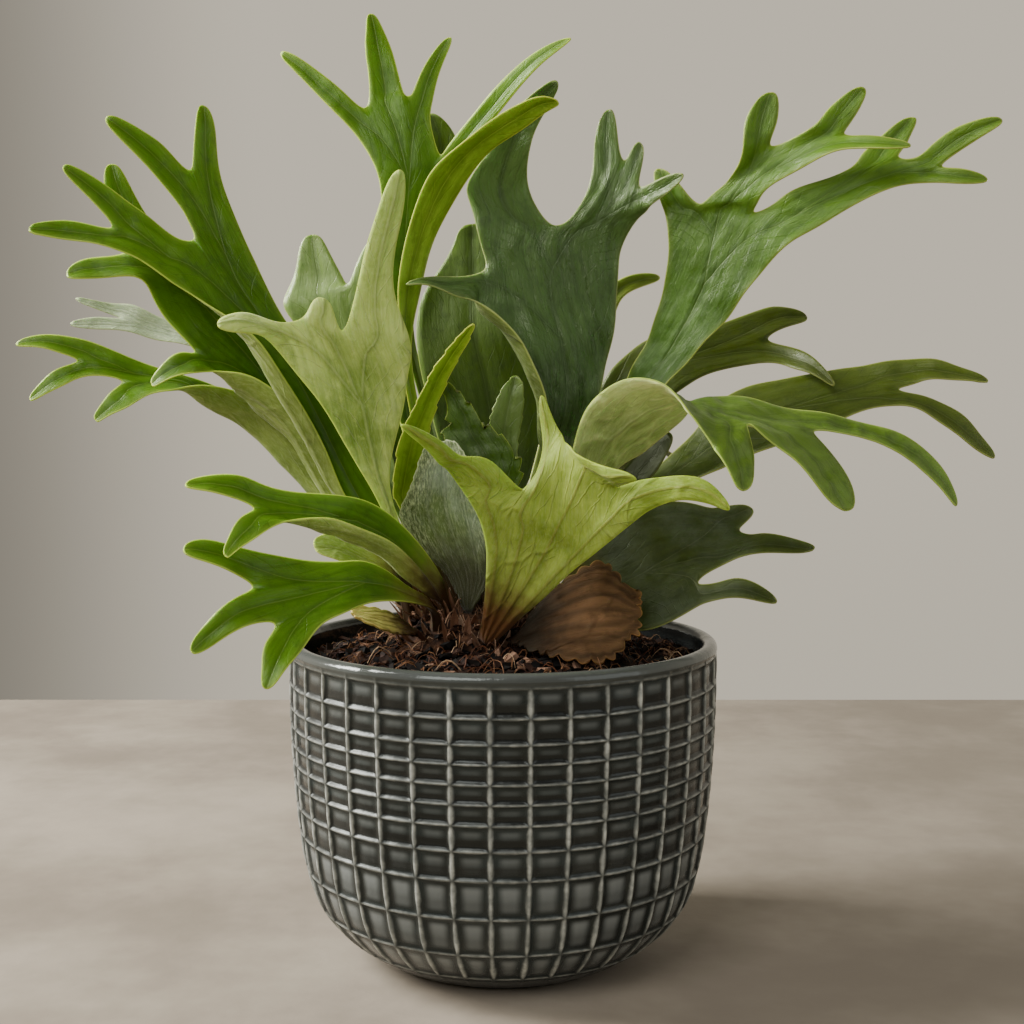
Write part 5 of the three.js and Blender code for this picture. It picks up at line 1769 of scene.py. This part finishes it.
def tone_finish(name, colours, roughness, grain):
    """Loose pieces whose own tone runs through a few colours"""
    bits = Finish(name, roughness)
    tone = bits.number("tone")
    bits.body = bits.mix(bits.ramp(tone, 0, 0.4), colours[0], colours[1])
    bits.paint(bits.ramp(tone, 0.4, 0.75), colours[2])
    bits.paint(bits.ramp(tone, 0.85, 1), colours[3])
    bits.paint(bits.ramp(bits.noise(grain, 4, 0.6), 0.4, 0.7, 0, 0.5), colours[0])
    normal = bits.bump(bits.noise(grain * 2, 4, 0.7), 0.3, 0.6)
    bits.shade({"Base Color": bits.body, "Specular IOR Level": 0.15, "Normal": normal})
    return bits.material


def ground_finish(name, dark, light, roughness, scale, far=0.0):
    """Mottled matt ground, with painted shade that darkens it a little further back"""
    ground = Finish(name, roughness)
    ground.body = ground.mix(ground.ramp(ground.noise(scale, 5, 0.65), 0.35, 0.7), dark, light)
    # Painted shade: darker further back, by the far share
    ground.paint(ground.ramp(ground.separate(ground.object)[1], -0.25, 0.5, 0, far), dark)
    normal = ground.bump(ground.noise(scale * 3, 5, 0.7), 1.0, 0.8)
    ground.shade({"Base Color": ground.body, "Specular IOR Level": 0.2, "Normal": normal})
    return ground.material


# What a felted underside and one with strong ribs have in common
FELTED = dict(roughness=0.6, rib_width=0.36, rib_share=0.16, raised=0.5, veins=0.2, gloss=0.3)
RIBBED = dict(FELTED, rib_share=0.4, veins=0.08)

# Leaves: the dark and light patches, the tip, the ribs and the margin, then what is unlike a plain leaf
LEAVES = dict(
    leaf_green=((0x1f3a04, 0x446808, 0x486c06, 0x84964a, 0xa8bc4a), {}),
    leaf_vivid=((0x3e5a0c, 0x90ac34, 0x688606, 0xa2b53c, 0xc0cb52), {}),
    leaf_fresh=((0x26440e, 0x4a721e, 0x60841c, 0x87a04c, 0xb0bd56), dict(wrinkles=0.6)),
    leaf_deep=((0x142806, 0x385222, 0x46602a, 0x566a48, 0x8a945a), dict(
        roughness=0.34, gloss=0.5, wrinkles=1.3)),
    leaf_shade=((0x1e2c10, 0x3b4c1a, 0x4a6418, 0x5f723a, 0x7a8a40), {}),
    leaf_olive=((0x28350e, 0x48571c, 0x4a5818, 0x76804a, 0x929a50), {}),
    leaf_haze=((0x1f280c, 0x343e14, 0x364412, 0x68704a, 0x868e4c), dict(bloom=0.15)),
    leaf_satin=((0x506a2a, 0x90a868, 0x7a9a44, 0x9cac78, 0xacc068), dict(
        roughness=0.34, gloss=0.45, wrinkles=0.2)),
    leaf_felt=((0x222e0c, 0x3e4e20, 0x3e4e22, 0x7a8468, 0x98a27c), dict(
        FELTED, felt=0.9, bare_middle=0.2, bloom=0.25, sheen=0.15, wrinkles=1.0, stalk=0x343a18,
        base=0x26280f)),
    underside_green=((0x4a5c1c, 0x74863a, 0x60742a, 0x8c9658, 0xa0ac58), dict(
        FELTED, net=0.15, felt=0.2, sheen=0.12)),
    underside_arch=((0x687640, 0xa6b276, 0x7c9042, 0xb4bd88, 0xa0ac58), dict(
        FELTED, net=0.3, felt=0.3, sheen=0.12)),
    underside_white=((0x506814, 0xafbd68, 0x98ac58, 0xb4be88, 0xa4b850), dict(
        FELTED, net=0.15, felt=0.24, sheen=0.15, base=0x5e3c1e)),
    underside_olive=((0x3a4818, 0x5a6a2e, 0x4e5e26, 0x7a8450, 0x8c9648), dict(
        FELTED, net=0.15, felt=0.2, sheen=0.08)),
    underside_pale=((0x5c7414, 0x9eb04a, 0x708a1a, 0x7d7634, 0x9cb43c), dict(
        RIBBED, net=0.1, felt=0.2, sheen=0.12, base=0x5e3c1e)),
    underside_felt=((0x5c6a50, 0x7d8a6e, 0x7d8a6e, 0x97a286, 0x93a074), dict(
        FELTED, felt=0.5, sheen=0.25)),
    shield_dry=((0x1c1008, 0x6a4c32, 0x7a5c3e, 0x38220f, 0x8c6436), dict(
        roughness=0.62, net=0.3, rib_width=0.5, rib_share=0.1, base=0x1c0f08, stalk=0x301c0c, bloom=0.0,
        raised=0.15, gloss=0.2, wrinkles=1.0)),
    shield_half=((0x6c6c34, 0xa0a25e, 0x84704a, 0xb0a868, 0xa08850), dict(
        roughness=0.62, net=0.3, rib_width=0.5, rib_share=0.25, raised=0.8, gloss=0.35)),
)

# Loose pieces: the colours of their tones, the roughness and the grain
TONES = dict(
    bark=((0x030202, 0x0e0906, 0x33211a, 0x90705c), 0.75, 300),
    coir=((0x2a140d, 0x58341f, 0x865f40, 0xc4a684), 0.6, 400),
    root_hair=((0x402c1f, 0x765640, 0x9c7b62, 0xc8ab90), 0.7, 400),
    bud_scale=((0x5e4231, 0x8a6650, 0xb08c74, 0xd0b29a), 0.7, 500),
)

# Ground: the dark and light patches, the roughness, their scale and the painted shade further back
GROUNDS = dict(
    # The soil is partly its own dark brown and partly painted shade, nearly black for the shadow between
    # the chips
    soil=(0x060302, 0x150a06, 0.95, 220),
    rootstock=(0x241710, 0x5a3e2c, 0.9, 260),
    floor=(0x867d70, 0xb6ac9c, 0.65, 5, 0.4),
)


def make_materials():
    made = {name: leaf_finish(name, *colours, **looks) for name, (colours, looks) in LEAVES.items()}
    made.update({name: tone_finish(name, *looks) for name, looks in TONES.items()})
    made.update({name: ground_finish(name, *looks) for name, looks in GROUNDS.items()})
    made["pot_glaze"] = glaze_finish()
    return made


# Stage

def make_floor():
    bpy.ops.object.select_all(action="DESELECT")
    bpy.ops.mesh.primitive_plane_add(size=FLOOR_SIZE, location=(0, FLOOR_EDGE - FLOOR_SIZE / 2, 0))
    floor = bpy.context.object
    floor.name = "floor"
    floor.data.materials.append(MATERIALS["floor"])


def make_camera():
    data = bpy.data.cameras.new("camera")
    camera = bpy.data.objects.new("camera", data)
    bpy.context.collection.objects.link(camera)
    data.sensor_width = SENSOR
    data.lens = FOCAL / PICTURE * SENSOR
    camera.location = EYE * MM
    camera.rotation_euler = (math.pi / 2 - LOOK_DOWN, 0, 0)
    bpy.context.scene.camera = camera


def make_light(name, place, size, watts, tint, glint):
    """A soft lamp that faces the plant, with a share for its own glints"""
    data = bpy.data.lights.new(name, "AREA")
    data.shape = "RECTANGLE"
    data.size, data.size_y = size
    data.energy = watts
    data.color = tint
    data.specular_factor = glint
    light = bpy.data.objects.new(name, data)
    bpy.context.collection.objects.link(light)
    light.location = place
    way = np.array(LIT_POINT) - np.array(place)
    yaw = math.atan2(way[1], way[0]) - math.pi / 2
    pitch = math.pi / 2 + math.atan2(way[2], math.hypot(way[0], way[1]))
    light.rotation_euler = (pitch, 0, yaw)


# How the backdrop's strength changes with the direction: axis, from, to, and the strengths there
WORLD_SHADES = [
    ("Z", 0.3, 0.85, 1.3, 0.5),
    ("Z", -0.2, 0.05, 0.92, 1.0),
    ("X", -0.34, -0.14, 0.38, 1.0),
    ("X", -0.95, -0.5, 4.0, 1.0),
    ("Y", -0.7, 0.4, 0.4, 1.0),
]


def make_world():
    """A plain pale backdrop that darkens overhead and behind the camera, brighter at the window"""
    world = bpy.data.worlds.new("studio")
    bpy.context.scene.world = world
    sky = NodeTree(world)
    parts = sky.separate(sky.coordinates["Generated"])
    shades = [sky.ramp(parts[axis], *shade) for axis, *shade in WORLD_SHADES]
    strength = shades[0]
    for shade in shades[1:]:
        strength = sky.times(strength, shade)
    back = sky.nodes["Background"]
    sky.set(back.inputs["Strength"], strength)
    sky.set(back.inputs["Color"], colour(0xbdb5a5))


MATERIALS = make_materials()
for outline in FRONDS:
    make_frond(outline)
make_pot()
make_soil()
make_rootstock()
scatter("bark_chips", "bark", "soil", 1400, SEED, add_chip, on_soil, 5.2)
scatter("coir_fibres", "coir", "soil", 900, SEED + 1, add_fibre, on_soil, 9.0, 0.5)
scatter("root_hairs", "root_hair", "rootstock", 350, SEED + 2, add_fibre, on_crown, 6.0, 0.35, 0.9)
scatter("bud_scales", "bud_scale", "rootstock", 110, SEED + 3, add_scale)
make_floor()
make_camera()
make_light("window", (-1.5, 0.15, 1.2), (0.6, 1.1), 84, (1.0, 0.97, 0.92), 0.25)
make_light("front", (-0.8, -1.5, 1.5), (1.2, 1.2), 25, (1.0, 0.98, 0.95), 0.3)
make_light("fill", (1.3, -0.9, 0.7), (1.2, 1.2), 5, (0.95, 0.97, 1.0), 0)
make_world()
